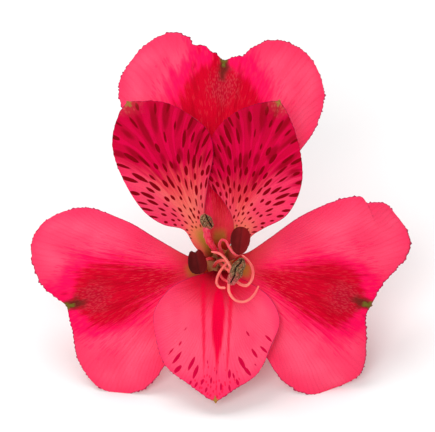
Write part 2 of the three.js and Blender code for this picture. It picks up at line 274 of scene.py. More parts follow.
def closedLeaf(grid, thickness, push):
    # Front and back skins that meet in one finely divided margin, which push moves outwards. Gives the
    # points, the faces, a function that spreads grid values over the points, and 1 for points in front.
    splits = 3  # parts of the margin between two grid points
    rows, cols = grid.shape[:2]
    count = rows * cols
    normal = normalsOf(grid)
    points = np.concatenate([grid + normal * s * thickness[..., None] / 2 for s in (1, -1)]).reshape(-1, 3)
    index = np.arange(count).reshape(rows, cols)
    loop = np.concatenate([index[:, 0], index[-1, 1:-1], index[::-1, -1]])
    inner = np.concatenate([index[:, 1], index[-2, 1:-1], index[::-1, -2]])
    flat = grid.reshape(-1, 3)
    step = np.arange((len(loop) - 1) * splits + 1)
    low = np.minimum(step // splits, len(loop) - 2)
    share = (step / splits - low)[:, None]

    def between(values):
        return values[low] * (1 - share) + values[low + 1] * share

    margin, away = between(flat[loop]), between(flat[loop] - flat[inner])
    outward = unit(np.cross(np.gradient(margin, axis=0), between(normal.reshape(-1, 3)[loop])))
    outward *= np.sign((outward * away).sum(1, keepdims=True))
    margin = margin + outward * push(lengthsAlong(margin), margin)[:, None]
    points[loop] = margin[::splits]
    points[index[0]] = grid[0]
    fresh = step % splits > 0
    points = np.vstack([points, margin[fresh]])
    behind = index + count
    behind[-1, :], behind[:, 0], behind[:, -1], behind[0, :] = index[-1], index[:, 0], index[:, -1], index[0]
    added = {}
    for k in range(len(loop) - 1):
        ids = [2 * count + k * (splits - 1) + j for j in range(splits - 1)]
        added[loop[k], loop[k + 1]] = ids
        added[loop[k + 1], loop[k]] = ids[::-1]
    faces = []
    for skin, order in ((index, (0, 1, 2, 3)), (behind, (0, 3, 2, 1))):
        quads = np.stack([skin[:-1, :-1], skin[1:, :-1], skin[1:, 1:], skin[:-1, 1:]], -1)[..., order]
        faces += quads[:-1, 1:-1].reshape(-1, 4).tolist()
        for quad in np.concatenate([quads[:, 0], quads[:, -1], quads[-1, 1:-1]]).tolist():
            face = []
            for p, q in zip(quad, quad[1:] + quad[:1]):
                face += [p] + added.get((p, q), [])
            faces.append(face)
    first = np.concatenate([np.tile(np.arange(count), 2), loop[low[fresh]]])
    second = np.concatenate([np.tile(np.arange(count), 2), loop[low[fresh] + 1]])
    weight = np.concatenate([np.zeros(2 * count), share[fresh, 0]])
    isFront = np.concatenate([np.ones(count), np.zeros(count), np.ones(int(fresh.sum()))])
    used = np.unique(np.concatenate([np.ravel(face) for face in faces]))
    order = np.zeros(len(points), int)
    order[used] = np.arange(len(used))
    order = order.tolist()
    faces = [[order[p] for p in face] for face in faces]

    def spread(values):
        values = values.reshape(count, -1)
        mixed = values[first] * (1 - weight[:, None]) + values[second] * weight[:, None]
        return mixed[used].squeeze()

    return points[used], faces, spread, isFront[used]


def veinLines(out, side, tepal):
    # Veins leave the claw together and bend away from the midrib. Gives a number that is the same all along
    # one vein, the distance and angle from where the veins meet, and the way the vein runs.
    r = np.hypot(out - tepal["veinFocus"], side)
    turn = np.arctan2(side, out - tepal["veinFocus"])
    straight = np.maximum(1 - tepal["veinBend"] * r, 0.15)
    return turn * straight, r, turn, turn + np.arctan(r * turn * tepal["veinBend"] / straight)


def markField(out, side, marks):
    # how far inside the nearest spindle-shaped mark each point is, in mm; below 0 outside them all
    inside = np.full(out.shape, -1.0)
    for o, s, length, width, turn in marks:
        along = (out - o) * math.cos(turn) + (side - s) * math.sin(turn)
        across = (side - s) * math.cos(turn) - (out - o) * math.sin(turn)
        size = (np.abs(2 * along / length) ** 1.7 + (2 * across / width) ** 2) ** 0.55
        inside = np.maximum(inside, (1 - size) * width / 2)
    return inside


def scatterMarks(tepal, layer, out, side, rim):
    # marks along the veins, kept apart by the layer's spacing; its rows are [distance from where the veins
    # meet, spacing across, spacing along, width, length]
    rng = np.random.default_rng(tepal["seed"] + layer["seed"])
    _, r, _, veinTurn = veinLines(out, side, tepal)
    table = np.array(layer["rows"])
    room = np.argwhere((r > layer["from"]) & (rim > layer["inset"]) & (out > tepal["veinFocus"]))
    marks = []
    for i, j in rng.permutation(room)[:layer["tries"]]:
        across, along, width, length = (np.interp(r[i, j], table[:, 0], table[:, k]) for k in (1, 2, 3, 4))
        if rng.random() > np.interp(r[i, j], *layer["keep"]):
            continue
        o, s, t = out[i, j], side[i, j], veinTurn[i, j]
        if marks:
            past = np.array(marks)
            u = (past[:, 0] - o) * math.cos(t) + (past[:, 1] - s) * math.sin(t)
            v = (past[:, 1] - s) * math.cos(t) - (past[:, 0] - o) * math.sin(t)
            if ((u / along) ** 2 + (v / across) ** 2).min() < 1:
                continue
        marks.append((o, s, length * rng.uniform(0.5, 1.3), width * rng.uniform(0.65, 1.25), t))
    return marks


fleckLayer = {
    "seed": 100, "from": 3.0, "inset": 0.35, "tries": 9000, "keep": ([0, 15, 20, 40], [1, 1, 0.35, 0.05]),
    "rows": [
        [3, 0.56, 0.8, 0.28, 0.5], [7, 0.7, 1.35, 0.4, 1.15], [11, 0.84, 2.1, 0.52, 2.0],
        [16, 1.05, 3.1, 0.6, 2.9], [25, 1.8, 5, 0.6, 3.1],
    ],
}
streakLayer = {
    "seed": 200, "from": 12, "inset": 1.2, "tries": 900, "keep": ([0, 13, 16, 40], [0, 0.2, 1, 1]),
    "rows": [[12, 1.5, 5, 0.9, 4], [17, 1.7, 6, 1.2, 6], [25, 2.1, 6, 1.3, 6.5]],
}


petalRelief = {
    "scallopFade": 1.1,      # from the margin inwards
    "waveFade": 4,
    "midrib": 0.9,           # half-widths of the midrib's groove, the pinch behind the tip and its shoulders
    "pinch": 1.9,
    "shoulder": 2.2,
    "shoulderPlace": 4.2,
    "margin": 0.2,           # thickness at the margin, what is added to it inside, and on the keel
    "body": 0.2,
    "keel": 0.12,
    "keelWidth": 1.4,
}


def leafGrid(tepal):
    # finer rows towards the tip, and finer columns towards the margins
    surface = tepalSurface(tepal)
    rows, cols = tepal["mesh"]
    u = np.linspace(0, 1, 800)
    lengths = lengthsAlong(surface(u, np.full_like(u, 0.5)))
    t = np.linspace(0, 1, rows + 1)
    u = np.interp((1.3 * t - 0.3 * t * t) * lengths[-1], lengths, u)
    t = np.linspace(0, 1, cols + 1)
    v = t - 0.09 * np.sin(2 * np.pi * t)
    return surface(*np.meshgrid(u, v, indexing="ij"))


def petalLift(tepal, x, y, side, rim, toTip, vein):
    # waves, folds and veins that stand out of the surface
    relief = petalRelief
    limb = smooth(np.hypot(x, y), outerFoot + 3, outerFoot + 10)
    wave = tepal["wave"] * waves(tepal["seed"], 8, 15)(x, y)
    lift = wave * (0.25 + 0.75 * np.exp(-rim / relief["waveFade"])) * limb
    lift -= tepal["midrib"] * ridge(side, relief["midrib"]) * limb
    lift -= tepal["pinch"] * ridge(side, relief["pinch"]) * smooth(toTip, 8, 0.5)
    beside = ridge(np.abs(side) - relief["shoulderPlace"], relief["shoulder"])
    lift += 0.35 * tepal["pinch"] * beside * smooth(toTip, 10, 2)
    fold = np.sin(tepal["veins"] * vein + 1.5 * waves(tepal["seed"] + 9, 9, 20)(x, y))
    return lift + tepal["veinRise"] * fold * limb * smooth(rim, 0.1, 1.5)


def leafPiece(name, tepal):
    grid = leafGrid(tepal)
    relief = petalRelief
    x, y = grid[..., 0], grid[..., 1]
    reach = np.hypot(x, y)
    azimuth = math.radians(tepal["azimuth"])
    out = x * math.cos(azimuth) + y * math.sin(azimuth)
    side = y * math.cos(azimuth) - x * math.sin(azimuth)
    fromFirst, up = distances(grid, 1), distances(grid, 0)
    toSecond, toEdge = fromFirst[:, -1:] - fromFirst, up[-1:, :] - up
    rim = np.minimum(np.minimum(fromFirst, toSecond), toEdge)  # distance from the margin
    tipX, tipY = tepal["tip"]
    tipLength = math.hypot(tipX, tipY)
    toTip = np.hypot(x - tipX, y - tipY)
    teethStart, teethFull = tepal["teethFrom"], tepal["teethFrom"] + 0.2
    # shallow scallops along the far margins
    far = smooth(reach, teethStart * tipLength, teethFull * tipLength)
    far *= smooth(toTip, 0.6, 2)
    across, along = unit(np.gradient(grid, axis=1)), unit(np.gradient(grid, axis=0))
    edgeRun = distances(grid[-1:], 1)[0]
    for distance, direction, run, seed in (
        (fromFirst, -across, up[:, :1], 1), (toSecond, across, up[:, -1:], 2), (toEdge, along, edgeRun, 3),
    ):
        wavy = tepal["scallop"] * far * scallops(tepal["seed"] + seed)(run)
        grid = grid + direction * (wavy * ridge(distance, relief["scallopFade"]))[..., None]
    vein, veinReach, _, _ = veinLines(out, side, tepal)
    grid = grid + normalsOf(grid) * petalLift(tepal, x, y, side, rim, toTip, vein)[..., None]
    thickness = relief["margin"] + relief["body"] * smooth(rim, 0.2, 5)
    thickness += relief["keel"] * ridge(side, relief["keelWidth"])
    thickness *= 1 - 0.5 * smooth(rim, 0.35, 0)
    profile = toothProfile(tepal["seed"], tepal["toothSpacing"], tepal["tooth"])

    def push(run, margin):
        share = np.hypot(margin[:, 0], margin[:, 1]) / tipLength
        awayFromTip = np.hypot(margin[:, 0] - tipX, margin[:, 1] - tipY)
        grow = smooth(share, teethStart, teethFull)
        return profile(run) * (0.12 + 0.88 * grow) * smooth(awayFromTip, 0.5, 1.6) * smooth(share, 0.15, 0.4)

    points, faces, spread, isFront = closedLeaf(grid, thickness, push)
    at = {"out": out, "side": side, "rim": rim, "toTip": toTip, "reach": reach, "share": out / tipLength}
    fields = {
        "grain": np.stack([vein, veinReach, 0 * vein], -1), "plate": np.stack([out, side, 0 * out], -1),
        **{key: at[key] for key in ("rim", "toTip", "reach", "share")}, **tepal["paint"](tepal, at),
    }
    fields = {key: spread(values) for key, values in fields.items()}
    fields["front"] = isFront
    points, faces, fields = addPoint(tepal, grid, points, faces, fields)
    return meshObject(name, points, faces, fields)


hornShape = {"rings": 17, "around": 18, "flat": 0.45, "droop": 0.2, "taper": 0.45}


def addPoint(tepal, grid, points, faces, fields):
    # the small green point at the tip: a blunt horn that grows out of the midrib's end
    rings, around = hornShape["rings"], hornShape["around"]
    middle = grid.shape[1] // 2
    tip = grid[-1, middle]
    spine = grid[::-1, middle]
    reachIn, reachOut, wide = tepal["point"]
    lengths = lengthsAlong(spine)
    inner = np.array([np.interp(reachIn, lengths, spine[:, k]) for k in range(3)])
    outward = unit(tip - inner)
    normal = normalsOf(grid)[-1, middle]
    sideways = np.cross(outward, normal)
    horn = []
    for t in np.linspace(0, 1, rings):
        centre = tip + outward * (-reachIn * (1 - t) + reachOut * t)
        centre = centre + normal * (0.02 - hornShape["droop"] * t * t)
        bulge = math.sqrt(max(math.sin(math.pi * (0.04 + 0.955 * t) ** 0.8), 0))
        size = wide / 2 * bulge * (1 - hornShape["taper"] * t)
        for angle in np.linspace(0, 2 * np.pi, around, endpoint=False):
            lumps = 1 + 0.12 * math.cos(5 * angle) + 0.1 * math.sin(7 * t + 2 * angle)
            offset = sideways * math.cos(angle) + normal * math.sin(angle) * hornShape["flat"]
            horn.append(centre + offset * size * lumps)
    start = len(points)
    faces = faces + ringFaces(rings, around, start=start)
    nearest = np.argmin(np.linalg.norm(points - tip, axis=1))
    merged = {}
    for key, values in fields.items():
        merged[key] = np.concatenate([values, np.repeat(values[nearest:nearest + 1], len(horn), axis=0)])
    merged["rim"][start:] = 1
    merged["front"][start:] = 1
    merged["toTip"][start:] = np.repeat(np.linspace(1.1, -0.6, rings), around)
    return np.vstack([points, horn]), faces, merged


# What is painted on the tepals point by point; the materials add the fine grain
def paintOuter(tepal, at):
    out, side, toTip, share = at["out"], at["side"], at["toTip"], at["share"]
    wide = tepal["band"] * (smooth(share, 0.1, 0.78) * 0.86 + 0.14)
    wide = wide - 0.45 * tepal["band"] * smooth(share, 0.86, 1.04)
    lean = side - tepal["bandLean"] * smooth(share, 0.3, 0.9)
    tip = math.hypot(*tepal["tip"])
    patch = 1 - np.hypot((out - (tip - 5.4)) / 4.6, side / 3.9)
    wedge = 1 - np.hypot(np.maximum(toTip - 0.6, 0) / 4.2, side / (0.9 + 0.34 * toTip))
    return {"band": wide - np.abs(lean), "patch": patch, "wedge": wedge}


def paintUpper(tepal, at):
    out, side, rim = at["out"], at["side"], at["rim"]
    _, r, turn, _ = veinLines(out, side, tepal)
    flank = smooth(tepal["flankSide"] * turn, 0.06, 0.38)
    crimson = r - tepal["crimsonFrom"] - tepal["flankRise"] * flank
    flecks = scatterMarks(tepal, fleckLayer, out, side, rim)
    streaks = scatterMarks(tepal, streakLayer, out, side, rim)
    return {
        "crimson": crimson, "flank": flank, "fleck": markField(out, side, flecks),
        "streak": markField(out, side, streaks),
    }


lowerMarks = [  # [x, y, length, width, direction in degrees] as seen from the front
    [-7, -14.5, 1.2, 0.34, 59], [-8.6, -15.8, 1.9, 0.36, 51], [-7.5, -16.9, 3, 0.62, 53],
    [-4.9, -18, 2.9, 0.68, 62], [-7.4, -19, 2.1, 0.84, 45], [-4.2, -19.5, 2.8, 0.78, 68],
    [-5.1, -21.4, 1, 0.45, 72], [-4.1, -21.8, 1.4, 0.5, 60], [-3, -21.3, 1.5, 0.5, 66],
    [-2.3, -22.7, 1.2, 0.45, 70], [-2.1, -17.8, 1, 0.3, 84], [-1.5, -21, 1.3, 0.4, 86],
    [-6, -11.9, 1.5, 0.28, 48], [5.2, -12.7, 1, 0.42, -60], [9, -13.6, 1.8, 0.5, -45],
    [8.1, -15.5, 1.8, 0.55, -42], [6.4, -16.2, 1.9, 0.6, -58], [4.1, -17.9, 2.6, 0.8, -62],
    [5.1, -19.4, 2.2, 0.7, -52], [6.5, -18.2, 0.8, 0.32, -50], [1.9, -19.9, 1.9, 0.6, 88],
    [0.9, -16.4, 1, 0.26, 88], [3.3, -21.4, 1.3, 0.5, -70], [1.9, -22.4, 1.3, 0.42, -80],
    [0.4, -22.2, 1.4, 0.42, 88], [2.6, -20.2, 1.2, 0.4, -74], [-0.4, -19.6, 1.3, 0.34, 88],
]


def paintLower(tepal, at):
    out, side = at["out"], at["side"]
    azimuth = math.radians(tepal["azimuth"])
    c, s = math.cos(azimuth), math.sin(azimuth)
    marks = [
        [x * c + y * s, y * c - x * s, length, width, math.radians(turn) - azimuth]
        for x, y, length, width, turn in lowerMarks
    ]
    # a broad stripe down the middle that narrows to a line, and a thin one on each side
    broad = np.interp(out, [4, 6, 8, 12, 14.5, 17, 20.5], [-0.2, 0.9, 1.2, 1.2, 0.85, 0.4, 0])
    broad = broad - np.abs(side - 0.1)
    narrow = np.interp(out, [3, 6, 10, 18, 21], [0.1, 0.42, 0.34, 0.16, -0.1])
    thin = [narrow - np.abs(side - place - bend * out) for place, bend in ((-2.9, 0.035), (2.5, -0.03))]
    return {"fleck": markField(out, side, marks), "stripe": broad, "sideStripe": np.maximum(*thin)}


# Materials. The helpers add nodes to the tree of the material that was started last.
work = {}


def srgb(r, g, b):
    # a screen colour, 0 to 255, as the linear one that the shader takes
    shares = [c / 255 for c in (r, g, b)]
    return (*(s / 12.92 if s <= 0.04 else ((s + 0.055) / 1.055) ** 2.4 for s in shares), 1)


def startMaterial(name):
    material = bpy.data.materials.new(name)
    material.use_nodes = True
    work["tree"] = material.node_tree
    return material, material.node_tree.nodes["Principled BSDF"]


def put(socket, value):
    if isinstance(value, bpy.types.NodeSocket):
        work["tree"].links.new(value, socket)
    else:
        socket.default_value = value


def addNode(kind, inputs=None, **settings):
    node = work["tree"].nodes.new(kind)
    for key, value in settings.items():
        setattr(node, key, value)
    for key, value in (inputs or {}).items():
        put(node.inputs[key], value)
    return node


def calc(operation, a, b=0.0):
    return addNode("ShaderNodeMath", {0: a, 1: b}, operation=operation).outputs[0]


def times(first, *rest):
    for value in rest:
        first = calc("MULTIPLY", first, value)
    return first


def plus(first, *rest):
    for value in rest:
        first = calc("ADD", first, value)
    return first


def centred(noiseValue, size):
    return times(calc("SUBTRACT", noiseValue, 0.5), size)


def ease(value, low, high, toLow=0.0, toHigh=1.0):
    inputs = {"Value": value, "From Min": low, "From Max": high, "To Min": toLow, "To Max": toHigh}
    return addNode("ShaderNodeMapRange", inputs, interpolation_type="SMOOTHSTEP").outputs[0]


def blendColour(factor, a, b, mode="MIX"):
    node = addNode("ShaderNodeMix", data_type="RGBA", blend_type=mode)
    put(node.inputs[0], factor)
    put(node.inputs[6], a)
    put(node.inputs[7], b)
    return node.outputs[2]


def over(colour, *layers):
    # each layer is (how much, colour as 0 to 255)
    for amount, top in layers:
        colour = blendColour(amount, colour, srgb(*top))
    return colour


def shaded(colour, amount):
    tone = addNode("ShaderNodeCombineColor", {0: amount, 1: amount, 2: amount}).outputs[0]
    return blendColour(1.0, colour, tone, "MULTIPLY")


def field(name, vector=False):
    node = addNode("ShaderNodeAttribute", attribute_name=name)
    return node.outputs["Vector" if vector else "Fac"]


def part(vector, number):
    return addNode("ShaderNodeSeparateXYZ", {0: vector}).outputs[number]


def stretched(vector, scale, shift=(0, 0, 0)):
    inputs = {"Vector": vector, "Scale": scale, "Location": shift}
    return addNode("ShaderNodeMapping", inputs).outputs[0]


def grainNoise(vector, scale, shift=(0, 0, 0), detail=2):
    inputs = {"Vector": stretched(vector, scale, shift), "Scale": 1.0, "Detail": detail, "Roughness": 0.55}
    return addNode("ShaderNodeTexNoise", inputs).outputs[0]


def dashes(grain, across, along, share, shift=(0, 0, 0), size=0.36):
    # short strokes along the veins; share of the cells that hold one
    inputs = {"Vector": stretched(grain, (across, along, 0), shift), "Scale": 1.0}
    cell = addNode("ShaderNodeTexVoronoi", inputs, voronoi_dimensions="2D")
    chance = part(cell.outputs["Color"], 0)
    stroke = ease(cell.outputs["Distance"], size, size * 0.55)
    return times(stroke, calc("LESS_THAN", chance, share))


def veinPattern(grain, count, wander):
    # thin lines along the veins, count of them to the radian
    wave = calc("SINE", plus(times(part(grain, 0), count * 2 * math.pi), times(wander, 9.0)))
    return times(ease(wave, 0.1, 1.0), ease(part(grain, 1), 5, 14, 0.2, 1))


def finishSurface(shader, colour, fine, height, finish):
    # fine is a noise: where it is low the surface has the first roughness, where it is high the second
    put(shader.inputs["Base Color"], colour)
    put(shader.inputs["Roughness"], ease(fine, 0.3, 0.7, *finish["roughness"]))
    shader.inputs["Specular IOR Level"].default_value = finish["gloss"]
    if "glow" in finish:
        weight, spread, scale = finish["glow"]
        shader.inputs["Subsurface Weight"].default_value = weight
        shader.inputs["Subsurface Radius"].default_value = spread
        shader.inputs["Subsurface Scale"].default_value = scale * mm
    strength, distance = finish["bump"]
    inputs = {"Height": height, "Strength": strength, "Distance": distance * mm}
    put(shader.inputs["Normal"], addNode("ShaderNodeBump", inputs).outputs[0])


# "glow" is the light that spreads under the surface: its weight, how far by colour, and mm
petalFinish = {
    "roughness": (0.49, 0.61), "gloss": 0.025, "glow": (0.12, (1.0, 0.3, 0.3), 0.8), "bump": (0.6, 0.07),
}
strandFinish = {
    "roughness": (0.34, 0.5), "gloss": 0.5, "glow": (0.35, (1.0, 0.4, 0.3), 0.5), "bump": (0.4, 0.05),
}
greenFinish = {
    "roughness": (0.42, 0.6), "gloss": 0.5, "glow": (0.2, (0.6, 1.0, 0.3), 0.8), "bump": (0.5, 0.06),
}
closedFinish = {"roughness": (0.42, 0.62), "gloss": 0.06, "bump": (0.6, 0.06)}
openFinish = {"roughness": (0.75, 0.95), "gloss": 0.2, "bump": (0.8, 0.1)}


def petalFields():
    # what the three petal materials read from the mesh
    grain, plate = field("grain", True), field("plate", True)
    side = calc("ABSOLUTE", part(plate, 1))
    cells = grainNoise(plate, (4.2, 4.2, 0))
    return grain, plate, side, cells, field("rim"), field("toTip"), field("reach")


def finishPetal(shader, front, back, edge, lines, cells):
    # edge is how much of the dark margin shows, and its colour
    front = shaded(front, ease(cells, 0.25, 0.75, 0.94, 1.04))
    colour = over(blendColour(field("front"), back, front), edge)
    finishSurface(shader, colour, cells, plus(lines, times(cells, 0.5)), petalFinish)


outerLook = {
    "lobe": (254, 84, 118), "lobeDeep": (250, 46, 92), "vein": (240, 36, 84), "fringe": (250, 0, 84),
    "core": (206, 0, 38), "streak": (178, 0, 26), "speck": (246, 80, 92), "claw": (218, 66, 68),
    "olive": (176, 132, 50), "patch": (184, 12, 42), "patchSpeck": (222, 74, 84), "wedge": (104, 36, 28),
    # throat is the claws' red painted lighter than it is: painted light in the deep, shaded throat
    "throat": (238, 44, 36), "point": (110, 98, 36), "edge": (136, 30, 84), "back": (238, 96, 112),
    "keel": (150, 128, 74),
}


def outerPetalMaterial(look):
    material, shader = startMaterial("outerPetal")
    grain, plate, side, cells, rim, toTip, reach = petalFields()
    band, share = field("band"), field("share")
    veins = grainNoise(grain, (55, 0.09, 0), detail=3)
    cloud = grainNoise(plate, (0.14, 0.2, 0), (5, 1, 0), detail=1)
    lines = veinPattern(grain, 52, cloud)
    # the lobes: rose, deeper by the margins and the claw, with fine veins
    colour = over(
        srgb(*look["lobe"]),
        (ease(cloud, 0.3, 0.75, 0, 0.55), look["lobeDeep"]),
        (ease(rim, 5, 0.3, 0, 0.7), look["lobeDeep"]),
        (times(lines, ease(veins, 0.35, 0.7, 0.03, 0.26)), look["vein"]),
        (ease(share, 0.42, 0.16, 0, 0.8), look["claw"]),
    )
    # the band along the midrib, its edge drawn out into streaks
    depth = plus(band, centred(veins, 6.0), centred(cloud, 3.0))
    feather = dashes(grain, 130, 0.55, ease(depth, -4.5, -0.5, 0, 0.85), (1, 4, 0), 0.5)
    streaks = grainNoise(grain, (26, 0.12, 0), (7, 3, 0))
    specks = dashes(grain, 165, 0.75, ease(depth, 4.5, 0.5, 0.25, 0.6), (3, 2, 0), 0.5)
    specks = times(
        specks, ease(depth, -2.5, -0.5), ease(share, 0.75, 0.35, 0.12, 0.42),
        ease(cloud, 0.35, 0.6, 0.5, 1.2),
    )
    colour = over(
        colour,
        (ease(depth, -6, -1.5, 0, 0.4), look["lobeDeep"]),
        (times(feather, 0.4), look["fringe"]),
        (ease(depth, -2.0, 0.6, 0, 0.9), look["fringe"]),
        (ease(plus(depth, ease(share, 0.76, 0.98, 0.6, -3.2)), 0.4, 3.2), look["core"]),
        (times(ease(streaks, 0.5, 0.66, 0, 0.6), ease(depth, 0.8, 3)), look["streak"]),
        (specks, look["speck"]),
    )
    # the mottled patch short of the tip, the dark wedge and the green point
    patch, wedge = field("patch"), field("wedge")
    edgeNoise = grainNoise(grain, (38, 0.5, 0), (9, 4, 0), detail=3)
    rough = plus(patch, centred(edgeNoise, 0.9))
    pale = dashes(grain, 230, 1.5, 0.7, (8, 8, 0), 0.52)
    dark = plus(wedge, centred(edgeNoise, 0.8))
    tipped = plus(toTip, times(edgeNoise, 0.8))
    colour = over(
        colour,
        (ease(rough, 0.0, 0.8, 0, 0.85), look["patch"]),
        (times(pale, ease(rough, 0.0, 0.5, 0, 0.36)), look["patchSpeck"]),
        (ease(dark, 0.0, 0.6, 0, 0.92), look["wedge"]),
        (ease(tipped, 1.4, 0.8), look["point"]),
        (ease(share, 0.34, 0.16, 0, 0.6), look["claw"]),
        (times(ease(reach, 7, 5), ease(side, 1.7, 0.6, 0, 0.8)), look["olive"]),
        # painted light: the throat's own red, painted lighter than it is where the throat lies deep in shade
        (ease(reach, 4.4, 3.2, 0, 0.8), look["throat"]),
    )
    # the back is paler, with a greenish keel
    back = over(
        srgb(*look["back"]),
        (ease(veins, 0.35, 0.65, 0, 0.8), look["lobeDeep"]),
        (ease(band, -1, 4, 0, 0.4), look["core"]),
        (ease(side, 1.8, 0.2, 0, 0.6), look["keel"]),
        (ease(tipped, 3.0, 1.0), look["point"]),
    )
    finishPetal(shader, colour, back, (ease(rim, 0.2, 0.0, 0, 0.65), look["edge"]), lines, cells)
    return material


upperLook = {
    "throat": (242, 134, 96), "pale": (248, 120, 106), "rose": (230, 62, 74), "flank": (240, 42, 98),
    "crimson": (198, 0, 54), "bright": (224, 2, 74), "streak": (146, 0, 22), "fleck": (128, 0, 14),
    "green": (176, 150, 52), "tip": (206, 104, 90), "point": (158, 112, 56), "edge": (120, 14, 58),
    "back": (206, 56, 80), "keel": (140, 120, 70),
}


def upperPetalMaterial(look):
    material, shader = startMaterial("upperInnerPetal")
    grain, _, side, cells, rim, toTip, reach = petalFields()
    crimson, flank = field("crimson"), field("flank")
    veins = grainNoise(grain, (34, 0.10, 0), detail=3)
    lines = veinPattern(grain, 26, veins)
    far = plus(crimson, centred(veins, 11.0))
    # salmon at the throat, rose beyond it, crimson over the far part with tongues along the veins
    colour = over(
        srgb(*look["throat"]),
        (ease(reach, 6.5, 10), look["pale"]),
        (ease(far, -8, -1.5), look["rose"]),
        (times(flank, ease(reach, 7, 12, 0, 0.8)), look["flank"]),
        (ease(rim, 2.5, 0.4, 0, 0.5), look["flank"]),
        (times(lines, 0.18), look["flank"]),
        (ease(far, -3.2, 2.4, 0, 0.99), look["crimson"]),
        (times(ease(far, -2, 3), ease(lines, 0.1, 0.9, 0, 0.6)), look["bright"]),
        (ease(far, 6, 14, 0, 0.3), look["streak"]),
    )
    edgeNoise = grainNoise(grain, (30, 0.5, 0), (9, 4, 0), detail=3)
    wobble = centred(edgeNoise, 0.25)
    streak, fleck = plus(field("streak"), wobble), field("fleck")
    hatch = dashes(grain, 240, 1.4, 0.6, (2, 5, 0), 0.5)
    nearTip = ease(plus(toTip, times(edgeNoise, 3.0)), 5.0, 2.4)
    green = times(ease(reach, 8.2, 5.6), ease(side, 1.7, 0.5, 0, 0.85))
    colour = over(
        colour,
        (times(ease(streak, -0.12, 0.35, 0, 0.8), ease(far, -3, 2)), look["streak"]),
        (ease(plus(fleck, times(wobble, 0.9)), -0.03, 0.05), look["fleck"]),
        (times(nearTip, ease(hatch, 0, 1, 0.15, 0.45)), look["tip"]),
        (ease(plus(toTip, edgeNoise), 1.6, 1.0), look["point"]),
        (green, look["green"]),
    )
    back = over(
        srgb(*look["back"]),
        (ease(veins, 0.35, 0.65, 0, 0.7), look["rose"]),
        (ease(fleck, -0.05, 0.1, 0, 0.35), look["crimson"]),
        (ease(side, 1.6, 0.2, 0, 0.7), look["keel"]),
        (ease(toTip, 2.4, 0.9), look["point"]),
    )
    finishPetal(shader, colour, back, (ease(rim, 0.18, 0.0, 0, 0.65), look["edge"]), lines, cells)
    return material


lowerLook = {
    "limb": (254, 84, 116), "limbDeep": (250, 46, 96), "vein": (244, 40, 88), "throat": (214, 18, 50),
    "stripe": (238, 0, 60), "fleck": (206, 0, 60), "point": (168, 128, 56), "edge": (140, 24, 80),
    "back": (240, 104, 120), "keel": (150, 128, 74),
}


def lowerPetalMaterial(look):
    material, shader = startMaterial("lowerInnerPetal")
    grain, plate, side, cells, rim, toTip, reach = petalFields()
    veins = grainNoise(grain, (48, 0.12, 0), detail=3)
    cloud = grainNoise(plate, (0.16, 0.24, 0), (2, 8, 0), detail=1)
    lines = veinPattern(grain, 44, cloud)
    wobble = centred(veins, ease(reach, 13, 6, 0.7, 2.6))
    crowd = plus(ease(reach, 9, 4, 0, 0.6), ease(toTip, 7.5, 3, 0, 0.5))
    specks = dashes(grain, 70, 1.3, crowd, (4, 1, 0), 0.42)
    colour = over(
        srgb(*look["limb"]),
        (ease(cloud, 0.3, 0.75, 0, 0.5), look["limbDeep"]),
        (ease(rim, 3, 0.3, 0, 0.6), look["limbDeep"]),
        (ease(toTip, 9, 3, 0, 0.7), look["limbDeep"]),
        (times(lines, ease(veins, 0.35, 0.7, 0.03, 0.26)), look["vein"]),
        (ease(plus(reach, times(veins, 5)), 14, 7.5, 0, 0.9), look["throat"]),
        (times(specks, 0.7), look["stripe"]),
        (ease(plus(field("stripe"), wobble), -0.3, 0.35), look["stripe"]),
        (ease(plus(field("sideStripe"), wobble), -0.2, 0.22, 0, 0.8), look["stripe"]),
        (ease(plus(field("fleck"), times(wobble, 0.4)), -0.03, 0.06), look["fleck"]),
        (ease(plus(toTip, veins), 1.5, 1.0), look["point"]),
    )
    back = over(
        srgb(*look["back"]),
        (ease(veins, 0.35, 0.65, 0, 0.7), look["limbDeep"]),
        (ease(side, 1.8, 0.2, 0, 0.75), look["keel"]),
    )
    finishPetal(shader, colour, back, (ease(rim, 0.2, 0.0, 0, 0.65), look["edge"]), lines, cells)
    return material


